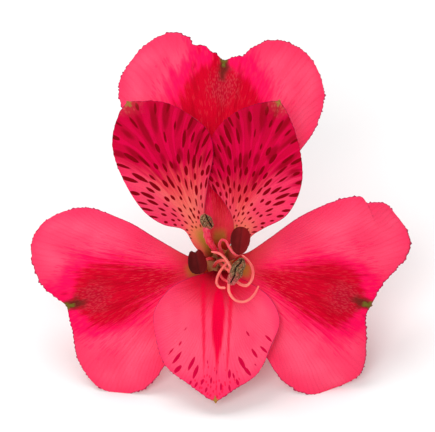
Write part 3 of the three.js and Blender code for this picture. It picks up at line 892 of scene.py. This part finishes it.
# The six tepals. Margins are [x, y] in mm as seen from the front, from foot to tip.
outerShape = {
    "lift": 0, "roll": 0, "mesh": (150, 170), "scallop": 0.2, "tooth": 0.34, "toothSpacing": (0.5, 1.15),
    "teethFrom": 0.7, "wave": 0.5, "midrib": 0.16, "pinch": 0.75, "veins": 150, "veinRise": 0.022,
    "veinFocus": 0, "veinBend": 0.012, "band": 7.0, "bandLean": 0, "point": (2.1, 0.25, 1.5),
    "paint": paintOuter, "slot": "outer_petal",
}
innerShape = {
    "mesh": (180, 160), "scallop": 0.08, "tooth": 0.12, "toothSpacing": (0.6, 1.3), "teethFrom": 0.6,
    "wave": 0.25, "midrib": 0.2, "pinch": 0.3, "veins": 80, "veinRise": 0.016, "veinFocus": 4.5,
    "veinBend": 0.028, "point": (1.5, 0.25, 1.2), "paint": paintUpper, "slot": "upper_inner_petal",
}
tepals = {
    "outer_tepal_upper": {
        **outerShape, "seed": 11, "band": 9.3, "bandLean": 0.9, "foot": (90, 34), "azimuth": 88.6,
        "tip": [0.9, 37], "cup": -0.004,
        "clockwise": [
            [2.9, 5], [5, 9.5], [9, 14.5], [14.6, 20.2], [18.2, 26], [19.1, 31], [16, 37.8], [10.4, 40.2],
            [6.6, 39.3], [4.2, 37.5], [2.2, 37.3],
        ],
        "anticlockwise": [
            [-2.9, 5], [-4.6, 9], [-8, 15], [-13, 21.5], [-17.3, 27.5], [-17.7, 33], [-14, 39], [-9, 41.5],
            [-6, 41], [-4.3, 39.2], [-3, 39.2], [-1.3, 38.2],
        ],
    },
    "outer_tepal_lower_left": {
        **outerShape, "seed": 22, "bandLean": -0.3, "foot": (210, 34), "azimuth": 195.7,
        "tip": [-27.7, -7.8], "cup": -0.006,
        "clockwise": [
            [-5.7, 1.3], [-11, 4.3], [-17, 7.7], [-25, 10], [-30.5, 8], [-33.9, 2.3], [-32.3, -3.5],
            [-28.9, -6.5],
        ],
        "anticlockwise": [
            [-3, -5], [-5.8, -11], [-9.8, -18.5], [-13, -22.3], [-17.3, -23.6], [-22, -22.2],
            [-25.4, -18], [-26.4, -12],
        ],
    },
    "outer_tepal_lower_right": {
        **outerShape, "seed": 33, "foot": (330, 34), "azimuth": -15.6, "tip": [27.6, -7.7], "cup": -0.006,
        "clockwise": [
            [3, -5], [5.4, -10.5], [8.6, -17], [12, -21.9], [17, -23.6], [22, -22.5], [25.6, -19.6],
            [26.6, -13], [26.5, -9.6],
        ],
        "anticlockwise": [
            [3.6, 1.3], [5.4, 2], [9, 4.4], [15, 8.6], [22, 11.5], [25.7, 11.7], [26.4, 10.7], [28, 10.8],
            [29.9, 10.7], [31.6, 9.6], [33.6, 7.1], [34.2, 4.5], [33.8, 1.5], [31.7, -1.5], [28.6, -5],
        ],
    },
    "inner_tepal_upper_left": {
        **innerShape, "seed": 44, "foot": (150, 24), "azimuth": 119.6, "tip": [-16.5, 29], "lift": 7,
        "cup": 0.006, "roll": -0.07, "flankSide": 1, "crimsonFrom": 13.7, "flankRise": 8,
        "clockwise": [
            [-2.1, 5], [-2.6, 9], [-2, 14], [-1, 20], [-2, 23.7], [-6, 27], [-10, 28.8], [-14, 29],
        ],
        "anticlockwise": [
            [-4.4, 3], [-6.3, 5.9], [-10, 6.9], [-13.5, 9.3], [-17.5, 15.8], [-19.1, 21.5], [-18, 26.3],
        ],
    },
    "inner_tepal_upper_right": {
        **innerShape, "seed": 55, "foot": (30, 24), "azimuth": 69.7, "tip": [10.8, 29.2], "lift": 7,
        "cup": 0.006, "roll": -0.09, "flankSide": -1, "crimsonFrom": 10.2, "flankRise": 6.5,
        "clockwise": [
            [3.2, 0.9], [4.9, 2.2], [5.7, 4.6], [8, 6.2], [12.3, 8.7], [14.8, 15], [14.4, 20.5],
            [12.4, 26.5],
        ],
        "anticlockwise": [
            [2.6, 4.6], [2.3, 8.4], [0.5, 11.5], [-1.8, 14.2], [-2, 18.5], [-0.8, 23.4], [3, 27],
            [7.4, 28.6],
        ],
    },
    "inner_tepal_lower": {
        **innerShape, "seed": 66, "foot": (270, 34), "azimuth": 268.6, "tip": [-0.6, -25], "lift": 2.5,
        "cup": 0.004, "roll": 0, "mesh": (170, 200), "tooth": 0.2, "wave": 0.3, "paint": paintLower,
        "veinFocus": 1.5, "veinBend": 0.02, "slot": "lower_inner_petal",
        "clockwise": [
            [-3, -2], [-5.4, -2.7], [-9, -4.7], [-11.7, -8.6], [-11.2, -13.6], [-9.6, -18.3], [-5, -22],
            [-1.8, -24.3],
        ],
        "anticlockwise": [
            [3, -2.4], [6.4, -4], [9.4, -6.5], [10.9, -10.5], [9.2, -15.3], [6.5, -20.2], [2.6, -22.7],
        ],
    },
}
petalPaint = {
    "outer_petal": outerPetalMaterial(outerLook),
    "upper_inner_petal": upperPetalMaterial(upperLook),
    "lower_inner_petal": lowerPetalMaterial(lowerLook),
}


def camel(node):
    first, *rest = node.split("_")
    return first + "".join(word.capitalize() for word in rest)


for node, tepal in tepals.items():
    settle(leafPiece(camel(node), tepal), node, tepal["slot"], petalPaint[tepal["slot"]])
print("tepals made")


# Stamens and style
strandMesh = {"sides": 16, "capRings": 7, "leastRadius": 0.004, "filamentSteps": 90, "styleSteps": 70}


def inThroat(route):
    return [[x, y, share * bloom["throatDepth"]] for x, y, share in route]


def tubeGrid(curve, radii, sides):
    # rings carried along the curve without twist, closed at both ends by shrinking rings
    tangent = unit(np.gradient(curve, axis=0))
    normal = unit(np.cross(tangent[0], [0.3, 0.9, 0.2]))
    rings = []
    for p, t, r in zip(curve, tangent, radii):
        normal = unit(normal - t * normal.dot(t))
        across = np.cross(t, normal)
        angle = np.linspace(0, 2 * np.pi, sides, endpoint=False)[:, None]
        rings.append(p + r * (np.cos(angle) * normal + np.sin(angle) * across))
    return np.array(rings)


def roundEnds(curve, radii):
    # adds the half-round ends as rings whose radius falls to almost nothing
    tangent = unit(np.gradient(curve, axis=0))
    angle = np.linspace(0, np.pi / 2, strandMesh["capRings"] + 1)[1:]
    head = [(curve[0] - tangent[0] * radii[0] * math.sin(a), radii[0] * math.cos(a)) for a in angle[::-1]]
    tail = [(curve[-1] + tangent[-1] * radii[-1] * math.sin(a), radii[-1] * math.cos(a)) for a in angle]
    points = [p for p, _ in head] + list(curve) + [p for p, _ in tail]
    sizes = [r for _, r in head] + list(radii) + [r for _, r in tail]
    return np.array(points), np.maximum(sizes, strandMesh["leastRadius"])


def tubeMesh(curve, radii, wobble, seed=1):
    sides = strandMesh["sides"]
    curve, radii = roundEnds(curve, radii)
    rings = tubeGrid(curve, radii, sides)
    s, a = np.meshgrid(lengthsAlong(curve), np.arange(sides) * 0.35, indexing="ij")
    middle = rings.mean(1, keepdims=True)
    rings = middle + (rings - middle) * (1 + wobble * waves(seed, 0.8, 2.2)(s, a))[..., None]
    count = len(rings)
    along = np.repeat(np.linspace(0, 1, count), sides)
    run = np.repeat(lengthsAlong(curve), sides)
    around = np.tile(np.arange(sides) / sides, count)
    grain = np.stack([np.cos(2 * np.pi * around), np.sin(2 * np.pi * around), run], -1)
    return rings.reshape(-1, 3), ringFaces(count, sides), {"along": along, "grain": grain}


def joinMeshes(pieces):
    points, faces, fields, start = [], [], {}, 0
    for p, f, values in pieces:
        points.append(p)
        faces += [[start + i for i in face] for face in f]
        for name, value in values.items():
            fields.setdefault(name, []).append(value)
        start += len(p)
    return np.vstack(points), faces, {name: np.concatenate(v) for name, v in fields.items()}


strandLook = {
    "filament": {
        "pale": (248, 132, 112), "rose": (238, 70, 90), "deep": (190, 6, 44), "foot": (200, 120, 62),
        "pink": (232, 36, 84), "streaks": 0.8,
    },
    "style": {
        "pale": (252, 146, 122), "rose": (244, 86, 92), "deep": (222, 34, 62), "foot": (206, 140, 80),
        "pink": (236, 50, 88), "streaks": 0.3,
    },
}


def strandMaterial(name):
    look = strandLook[name]
    material, shader = startMaterial(name)
    grain, along = field("grain", True), field("along")
    run = grainNoise(grain, (0.9, 0.9, 0.35), detail=3)
    fine = grainNoise(grain, (4, 4, 0.9), (2, 1, 0))
    pink = times(field("pink"), ease(run, 0.3, 0.6, 0.6, 1))
    colour = over(
        srgb(*look["pale"]),
        (ease(run, 0.32, 0.66), look["rose"]),
        (pink, look["pink"]),
        (times(ease(fine, 0.54, 0.68, 0, look["streaks"]), ease(along, 0.2, 0.6)), look["deep"]),
        (ease(along, 0.42, 0.1, 0, 0.8), look["foot"]),
    )
    finishSurface(shader, colour, fine, fine, strandFinish)
    return material


stamens = [
    {"foot": 150, "end": 0.2, "pink": 0.5, "route": [
        [-1.3, 0.7, 0.5], [-1.8, 0.8, 0.95], [-2.5, 0.6, 1.25], [-3.3, 0.3, 1.5],
    ]},
    {"foot": 30, "end": 0.22, "pink": 0.8, "route": [
        [0.8, 1.4, 0.5], [0.2, 2.6, 0.94], [0.1, 3.5, 1.2], [0.6, 4.2, 1.4], [1.3, 3.9, 1.5],
        [1.8, 2.9, 1.56], [2.6, 1.8, 1.62], [3.4, 1.6, 1.7],
    ]},
    {"foot": 90, "end": 0.64, "pink": 1, "route": [
        [-0.1, 1.4, 0.38], [-0.5, 2.1, 0.72], [-1.2, 3.1, 0.94], [-2, 4.5, 1.08], [-2.2, 6.2, 1.18],
    ]},
    {"foot": 330, "end": 0.2, "pink": 0.3, "route": [
        [1.6, -1.3, 0.5], [2.6, -2.3, 1], [3.5, -2.6, 1.38], [3.6, -1.8, 1.62],
    ]},
    {"foot": 210, "end": 0.24, "pink": 0, "route": [
        [-0.9, -0.6, 0.5], [-0.3, 0.2, 0.88], [0.8, 0.5, 1.14], [1.3, 0, 1.3], [0.3, -1.3, 1.44],
        [-0.3, -2.5, 1.5], [-0.4, -3.6, 1.54], [0.2, -4.3, 1.56], [1, -4.3, 1.57],
    ]},
    {"foot": 270, "end": 0.22, "pink": 0.6, "route": [
        [0.1, -1.7, 0.5], [0.3, -2.3, 0.88], [0.8, -2.9, 1.18], [1.5, -3.2, 1.4],
    ]},
]
filamentPaint = strandMaterial("filament")
for number, stamen in enumerate(stamens, 1):
    foot = math.radians(stamen["foot"])
    start = [ringRadius * math.cos(foot), ringRadius * math.sin(foot), 0]
    t = np.linspace(0, 1, strandMesh["filamentSteps"])
    curve = atShare(curveThrough([start] + inThroat(stamen["route"])), t)
    thick = bloom["filamentDiameter"] / 2
    radii = thick + (stamen["end"] - thick) * smooth(t, 0.35, 0.95)
    wobble = 0.05 + 0.08 * smooth(stamen["end"], 0.3, 0.5)
    points, faces, fields = tubeMesh(curve, radii, wobble, number)
    fields["pink"] = np.full(len(points), stamen["pink"])
    piece = meshObject(f"filament{number}", points, faces, fields)
    settle(piece, f"filament_{number}", "filament", filamentPaint)


styleRoute = [[0, 0, 0], [0.2, -0.1, 0.5], [0.8, -0.6, 1], [1.6, -1.2, 1.36], [2.2, -1.7, 1.54]]
stigmaRoutes = [
    [[2.1, -0.9, 1.57], [1.4, 0.5, 1.61], [0.2, 1.7, 1.62], [-1.3, 2.1, 1.6]],
    [
        [3.5, -3.5, 1.57], [4.9, -3.9, 1.58], [5.9, -2.7, 1.58], [6, -1, 1.56], [5.2, 0.5, 1.52],
        [4.2, 1.4, 1.47],
    ],
    [
        [1.8, -3.2, 1.58], [1.8, -5, 1.6], [2.9, -6.5, 1.6], [4.6, -6.8, 1.6], [6.2, -5.6, 1.6],
        [7, -4.1, 1.6],
    ],
]


styleShape = {"radius": 0.33, "taper": 0.05, "branchRadius": 0.27, "branchTaper": 0.03, "branchTip": 0.09}


def stylePiece(shape):
    t = np.linspace(0, 1, strandMesh["styleSteps"])
    radii = shape["radius"] - shape["taper"] * t
    pieces = [tubeMesh(atShare(curveThrough(inThroat(styleRoute)), t), radii, 0.03)]
    radii = shape["branchRadius"] - shape["branchTaper"] * t - shape["branchTip"] * t ** 8
    for route in stigmaRoutes:
        curve = atShare(curveThrough(inThroat([styleRoute[-1]] + route)), t)
        points, faces, fields = tubeMesh(curve, radii, 0.05, len(pieces))
        fields["along"] = 0.6 + 0.4 * fields["along"]
        pieces.append((points, faces, fields))
    points, faces, fields = joinMeshes(pieces)
    fields["pink"] = np.full(len(points), 0.15)
    return meshObject("styleAndStigmas", points, faces, fields)


settle(stylePiece(styleShape), "style", "style", strandMaterial("style"))
print("filaments and style made")


# Anthers: round bodies shaped in their own frame, length on Y and the face towards +Z
def roundBody(rings, around, shape):
    lat = np.linspace(-np.pi / 2, np.pi / 2, rings + 1)[1:-1]
    lon = np.linspace(0, 2 * np.pi, around, endpoint=False)
    lat, lon = np.meshgrid(lat, lon, indexing="ij")
    grid = shape(lat, lon)
    low = shape(np.full((1, 1), -np.pi / 2), np.zeros((1, 1)))[0, 0]
    high = shape(np.full((1, 1), np.pi / 2), np.zeros((1, 1)))[0, 0]
    return np.vstack([grid.reshape(-1, 3), low, high]), ringFaces(len(grid), around, pointed=True)


closedAnther = {
    1: {
        "middle": [-3.9, 0.36, 1.62], "size": (3.3, 4.5, 2.2), "turn": 12, "notch": 0.55, "heavy": -0.17,
        "lowPoint": 0.8, "highPoint": 0.6, "shade": 0.6,
    },
    2: {
        "middle": [3.75, 4.05, 1.78], "size": (3.5, 5, 2.4), "turn": -7, "notch": 0, "heavy": 0.13,
        "lowPoint": 1.1, "highPoint": 0.86, "shade": 0.95,
    },
}
openAnther = {
    3: {
        "middle": [-2.2, 7.45, 1.2], "size": (2, 2.9, 1.3), "turn": 34, "seed": 5,
        "slit": 0.42, "blush": 0.15,
    },
    4: {
        "middle": [3.1, -1.4, 1.76], "size": (2.2, 5.1, 1.4), "turn": -26, "seed": 8,
        "slit": -0.12, "blush": 1,
    },
}
antherMesh = {"closed": (64, 80), "open": (120, 120)}


def placeAnther(points, anther):
    turn = math.radians(anther["turn"])
    spin = np.array([[math.cos(turn), -math.sin(turn), 0], [math.sin(turn), math.cos(turn), 0], [0, 0, 1]])
    x, y, share = anther["middle"]
    return points @ spin.T + [x, y, share * bloom["throatDepth"]]


def closedAntherPiece(number, anther):
    w, l, d = (s / 2 for s in anther["size"])

    def shape(lat, lon):
        up = np.sin(lat)
        sharp = anther["lowPoint"] + (anther["highPoint"] - anther["lowPoint"]) * smooth(up, -0.5, 0.5)
        swell = np.maximum(np.cos(lat), 0) ** sharp
        x = w * swell * (1 + anther["heavy"] * up) * np.sin(lon)
        z = d * swell * np.cos(lon)
        seam = ridge(x, 0.14 * w) * (z > 0)
        z = z * (1 - 0.05 * seam) * (1 - 0.05 * np.cos(2 * lon))
        dip = anther["notch"] * ridge(x, 0.3 * w)
        return np.stack([x, l * up - dip * smooth(up, 0.5, 1), z], -1)

    points, faces = roundBody(*antherMesh["closed"], shape)
    grain = waves(number, 0.5, 0.9)(points[:, 0] * 2, points[:, 1] + points[:, 2])
    points = points * (1 + 0.01 * grain)[:, None]
    seam = ridge(points[:, 0], 0.1 * w) * (points[:, 2] > 0)
    fields = {"grain": points, "seam": seam, "shade": np.full(len(points), anther["shade"])}
    return meshObject(f"anther{number}", placeAnther(points, anther), faces, fields)


pollen = {"perMm": 4.6, "height": 0.11, "lumpsPerMm": 2.2, "lumpHeight": 0.06, "bareInSlit": 0.8}


def openAntherPiece(number, anther):
    # split lengthwise, its valves rolled back and covered with grains of pollen
    w, l, d = (s / 2 for s in anther["size"])
    wander, ragged = waves(anther["seed"], 1.6, 3.5), waves(anther["seed"] + 1, 0.5, 1.1)

    def shape(lat, lon):
        swell = np.maximum(np.cos(lat), 0) ** 0.7
        wide = 1 + 0.07 * wander(3 * np.sin(lat), np.sin(lon))
        return np.stack([w * swell * np.sin(lon) * wide, l * np.sin(lat), d * swell * np.cos(lon)], -1)

    points, faces = roundBody(*antherMesh["open"], shape)
    x, y, z = points.T
    offset = x / w - anther["slit"] - 0.16 * wander(y * 0.8, 0 * y)
    gape = 0.10 + 0.05 * ragged(y, 0 * y)
    slit = ridge(offset, gape) * smooth(1 - np.abs(y) / l, 0.03, 0.15) * (z > 0)
    valve = ridge(np.abs(offset) - 0.34, 0.22)
    z = np.where(z > 0, z * (0.86 + 0.24 * valve - 0.62 * slit), z)
    points = np.stack([x, y, z], -1)
    cells = np.array([noise.voronoi(Vector(p) * pollen["perMm"])[0][0] for p in points])
    grains = np.clip(1 - cells / 0.55, 0, 1) ** 0.7
    rough = np.array([noise.noise(Vector(p) * pollen["lumpsPerMm"]) for p in points])
    relief = (pollen["height"] * grains + pollen["lumpHeight"] * rough) * (1 - pollen["bareInSlit"] * slit)
    points = points + unit(points) * relief[:, None]
    blush = anther["blush"] * smooth(-y / l + 0.5 * rough, 0.05, 0.8)
    fields = {"grain": points, "slit": slit, "pollen": grains, "blush": blush}
    return meshObject(f"anther{number}", placeAnther(points, anther), faces, fields)


# the closed anthers' colours paint light and shade: dark is the painted shade on one side, maroon the
# painted lit side
antherLook = {"dark": (84, 7, 9), "maroonLitSide": (132, 16, 22), "seam": (44, 3, 6), "bloom": (168, 50, 50)}
# between is painted shade in the hollows between the pollen grains, slit a painted shadow down the open slit
pollenLook = {
    "tan": (198, 158, 122), "grey": (150, 118, 82), "between": (92, 58, 36), "slit": (36, 12, 8),
    "rust": (186, 84, 66), "blush": (236, 92, 104),
}


def closedAntherMaterial(look):
    material, shader = startMaterial("closedAnther")
    grain, seam = field("grain", True), field("seam")
    broad = grainNoise(grain, (0.7, 0.5, 0.7), detail=3)
    fine = grainNoise(grain, (9, 9, 9), detail=3)
    colour = over(
        srgb(*look["dark"]),
        # painted shade and painted light: dark towards the anther's -X side, turning to lighter maroon
        # towards its +X side
        (ease(plus(part(grain, 0), times(broad, 3)), -0.6, 3.4), look["maroonLitSide"]),
        (ease(fine, 0.5, 0.8, 0, 0.16), look["bloom"]),
        (times(seam, 0.3), look["seam"]),
    )
    finishSurface(shader, shaded(colour, field("shade")), fine, fine, closedFinish)
    return material


def openAntherMaterial(look):
    material, shader = startMaterial("openAnther")
    grain, grains = field("grain", True), field("pollen")
    fine = grainNoise(grain, (11, 11, 11), detail=3)
    broad = grainNoise(grain, (1.6, 1.1, 1.6), (3, 1, 2))
    # painted shade: the dark base shows in the hollows between the pollen grains
    colour = over(
        srgb(*look["between"]),
        (ease(grains, 0.1, 0.5), look["grey"]),
        (ease(grains, 0.45, 0.9), look["tan"]),
        (ease(broad, 0.52, 0.7, 0, 0.6), look["rust"]),
        (times(field("blush"), ease(grains, 0.1, 0.7, 0.3, 0.9)), look["blush"]),
        # painted shadow: near-black down the open slit, where the groove lies in shade
        (ease(field("slit"), 0.3, 0.7), look["slit"]),
    )
    colour = shaded(colour, ease(fine, 0.3, 0.7, 0.78, 1.1))
    finishSurface(shader, colour, fine, fine, openFinish)
    return material


closedPaint, openPaint = closedAntherMaterial(antherLook), openAntherMaterial(pollenLook)
for number, anther in closedAnther.items():
    settle(closedAntherPiece(number, anther), f"anther_{number}", "closed_anther", closedPaint)
for number, anther in openAnther.items():
    settle(openAntherPiece(number, anther), f"anther_{number}", "open_anther", openPaint)
print("anthers made")


# Ovary and stalk
ovaryShape = {"ribs": 6, "ribHeight": 0.22, "topRadius": 3.05, "rings": 80, "around": 144}
stalkShape = {"ridges": 9, "rings": 60, "around": 96}
greenLook = {
    "green": (128, 146, 66), "rib": (98, 120, 44), "flush": (176, 92, 70), "pale": (176, 180, 108),
    # floor is the ovary's top, painted paler than it is: painted light at the bottom of the shaded throat
    "floor": (222, 146, 78), "pith": (206, 208, 158),
}


def lathed(profile, around, ribs):
    # profile is [radius, height] from the axis at the bottom to the axis at the top; ribs stand out of it
    angle = np.linspace(0, 2 * np.pi, around, endpoint=False)
    r, a = np.meshgrid(profile[1:-1, 0], angle, indexing="ij")
    z = np.repeat(profile[1:-1, 1:2], around, axis=1)
    r = r + ribs(a, z, r)
    grid = np.stack([r * np.cos(a), r * np.sin(a), z], -1)
    ends = [[0, 0, profile[0, 1]], [0, 0, profile[-1, 1]]]
    points = np.vstack([grid.reshape(-1, 3), ends])
    turn = np.arctan2(points[:, 1], points[:, 0])
    fields = {"grain": np.stack([np.cos(turn), np.sin(turn), points[:, 2]], -1)}
    return points, ringFaces(len(grid), around, pointed=True), fields, turn


def ovaryPiece(shape):
    stalk, top = bloom["stalkDiameter"] / 2, shape["topRadius"]
    low, high = -2 * bloom["clearance"] - bloom["ovaryHeight"], -0.02
    tall = high - low
    outline = curveThrough([
        [stalk * 0.98, low], [stalk + 0.45, low + 0.12 * tall], [stalk + 1.1, low + 0.32 * tall],
        [top, low + 0.64 * tall], [top + 0.05, low + 0.84 * tall], [top - 0.12, low + 0.95 * tall],
        [top - 0.5, high],
    ])
    outline = atShare(outline, np.linspace(0, 1, shape["rings"]))
    profile = np.vstack([[0, low], outline, [top * 0.5, high], [0, high]])

    def ribs(a, z, r):
        swell = np.sin(np.pi * np.clip((z - low) / tall, 0, 1)) ** 0.7 * smooth(r, 0.8, 1.4)
        return shape["ribHeight"] * swell * (np.abs(np.cos(shape["ribs"] / 2 * a)) ** 1.6 - 0.5)

    points, faces, fields, turn = lathed(profile, shape["around"], ribs)
    fields["rib"] = np.abs(np.cos(shape["ribs"] / 2 * turn))
    fields["rise"] = (points[:, 2] - low) / tall
    return meshObject("ovary", points, faces, fields)


def stalkPiece(shape):
    top = -2 * bloom["clearance"] - bloom["ovaryHeight"]
    low, r = top - bloom["stalkLength"], bloom["stalkDiameter"] / 2
    count = shape["ridges"]
    wall = [[r, low + t * bloom["stalkLength"]] for t in np.linspace(0.01, 1, shape["rings"])]
    cut = [[r * s, low + 0.05 * (1 - s) ** 0.5] for s in (0.25, 0.5, 0.7, 0.8, 0.9, 0.97)]
    profile = np.array([[0, low + 0.06]] + cut + wall + [[r * 0.6, top], [0, top]])

    def ridges(a, z, radius):
        body = smooth(radius, 0.8 * r, r) * (1 - smooth(z, top - 0.4, top))
        return body * (-0.03 + 0.028 * np.cos(count * a + 0.15 * z) - 0.03 * np.sin(0.9 * z) ** 2)

    points, faces, fields, turn = lathed(profile, shape["around"], ridges)
    radius = np.hypot(points[:, 0], points[:, 1]) / r
    fields["rib"] = 0.5 + 0.5 * np.cos(count * turn)
    fields["rise"] = (points[:, 2] - low) / (top - low)
    # the cut end shows pith and a ring of small bundles
    fields["cut"] = (points[:, 2] < low + 0.07).astype(float)
    bundles = ridge(radius - 0.72, 0.07) * smooth(np.cos(count * turn), 0.2, 0.9)
    fields["bundle"] = bundles * fields["cut"]
    return meshObject("stalk", points, faces, fields)


def greenMaterial(name, look, flushFrom, cutEnd=False):
    material, shader = startMaterial(name)
    grain, rib, rise = field("grain", True), field("rib"), field("rise")
    broad = grainNoise(grain, (1.4, 1.4, 0.35), detail=3)
    fine = grainNoise(grain, (14, 14, 1.2), (1, 5, 2), detail=3)
    flush = times(ease(rise, flushFrom, 0.97, 0, 0.75), ease(broad, 0.3, 0.7, 0.4, 1))
    layers = [
        (ease(rib, 0.25, 0.95), look["rib"]),
        (ease(broad, 0.45, 0.7, 0, 0.5), look["pale"]),
        (flush, look["flush"]),
        # painted light: the top, paler orange than the tissue, where it lies deep in the throat's shade
        (ease(rise, 0.985, 0.997), look["floor"]),
    ]
    if cutEnd:
        layers += [(field("cut"), look["pith"]), (field("bundle"), look["rib"])]
    colour = over(srgb(*look["green"]), *layers)
    colour = shaded(colour, ease(fine, 0.3, 0.7, 0.86, 1.1))
    finishSurface(shader, colour, fine, fine, greenFinish)
    return material


settle(ovaryPiece(ovaryShape), "ovary", "ovary", greenMaterial("ovary", greenLook, 0.55))
settle(stalkPiece(stalkShape), "pedicel", "stalk", greenMaterial("stalk", greenLook, 0.8, cutEnd=True))
print("ovary and stalk made")


# Floor, light and camera
studio = {
    "floor": 3.0,   # half its width in metres
    "world": 0.58,
    "lights": [
        # name, place from the bloom, size, power, all in metres and watts
        ("front", (-0.25, -0.95, 0.85), 0.6, 6.0),
        ("top", (-0.3, 0.3, 1.2), 0.9, 7.0),
    ],
    "camera": {"distance": 1.0, "width": 78.3, "centre": (-0.27, 8.46, 15)},
}


def stageFloor():
    mesh = bpy.data.meshes.new("floor")
    corners = [(x, y, 0) for x, y in ((-1, -1), (1, -1), (1, 1), (-1, 1))]
    mesh.from_pydata(corners, [], [[0, 1, 2, 3]])
    mesh.transform(Matrix.Scale(studio["floor"], 4))
    material, shader = startMaterial("floor")
    shader.inputs["Base Color"].default_value = (0.97, 0.97, 0.97, 1)
    shader.inputs["Roughness"].default_value = 0.9
    shader.inputs["Specular IOR Level"].default_value = 0.1
    mesh.materials.append(material)
    addObject("floor", mesh)


def aim(thing, target):
    thing.rotation_euler = (Vector(target) - thing.location).to_track_quat("-Z", "Y").to_euler()


def lightStudio():
    world = bpy.data.worlds.new("studio")
    world.use_nodes = True
    background = world.node_tree.nodes["Background"]
    background.inputs["Color"].default_value = (1, 1, 1, 1)
    background.inputs["Strength"].default_value = studio["world"]
    bpy.context.scene.world = world
    middle = Vector(cadBox[0]).lerp(Vector(cadBox[1]), 0.5)
    for name, place, size, power in studio["lights"]:
        data = bpy.data.lights.new(name, "AREA")
        data.shape, data.size, data.energy = "DISK", size, power
        lamp = addObject(name, data)
        lamp.location = middle + Vector(place)
        aim(lamp, middle)


def placeCamera():
    # straight down the throat, far enough off that the bloom is nearly free of perspective
    settings = studio["camera"]
    data = bpy.data.cameras.new("camera")
    data.sensor_width = 36
    data.lens = data.sensor_width * settings["distance"] / (settings["width"] * mm)
    data.clip_start, data.clip_end = 0.05, 20
    camera = addObject("camera", data)
    target = toRow @ Vector(settings["centre"])
    turn = toRow.to_quaternion()
    back = turn @ Vector((0, 0, 1))
    camera.location = target + back * settings["distance"]
    camera.rotation_euler = turn.to_euler()
    bpy.context.scene.camera = camera


stageFloor()
lightStudio()
placeCamera()
bpy.context.scene.view_settings.view_transform = "Standard"
print("floor, lights and camera placed")
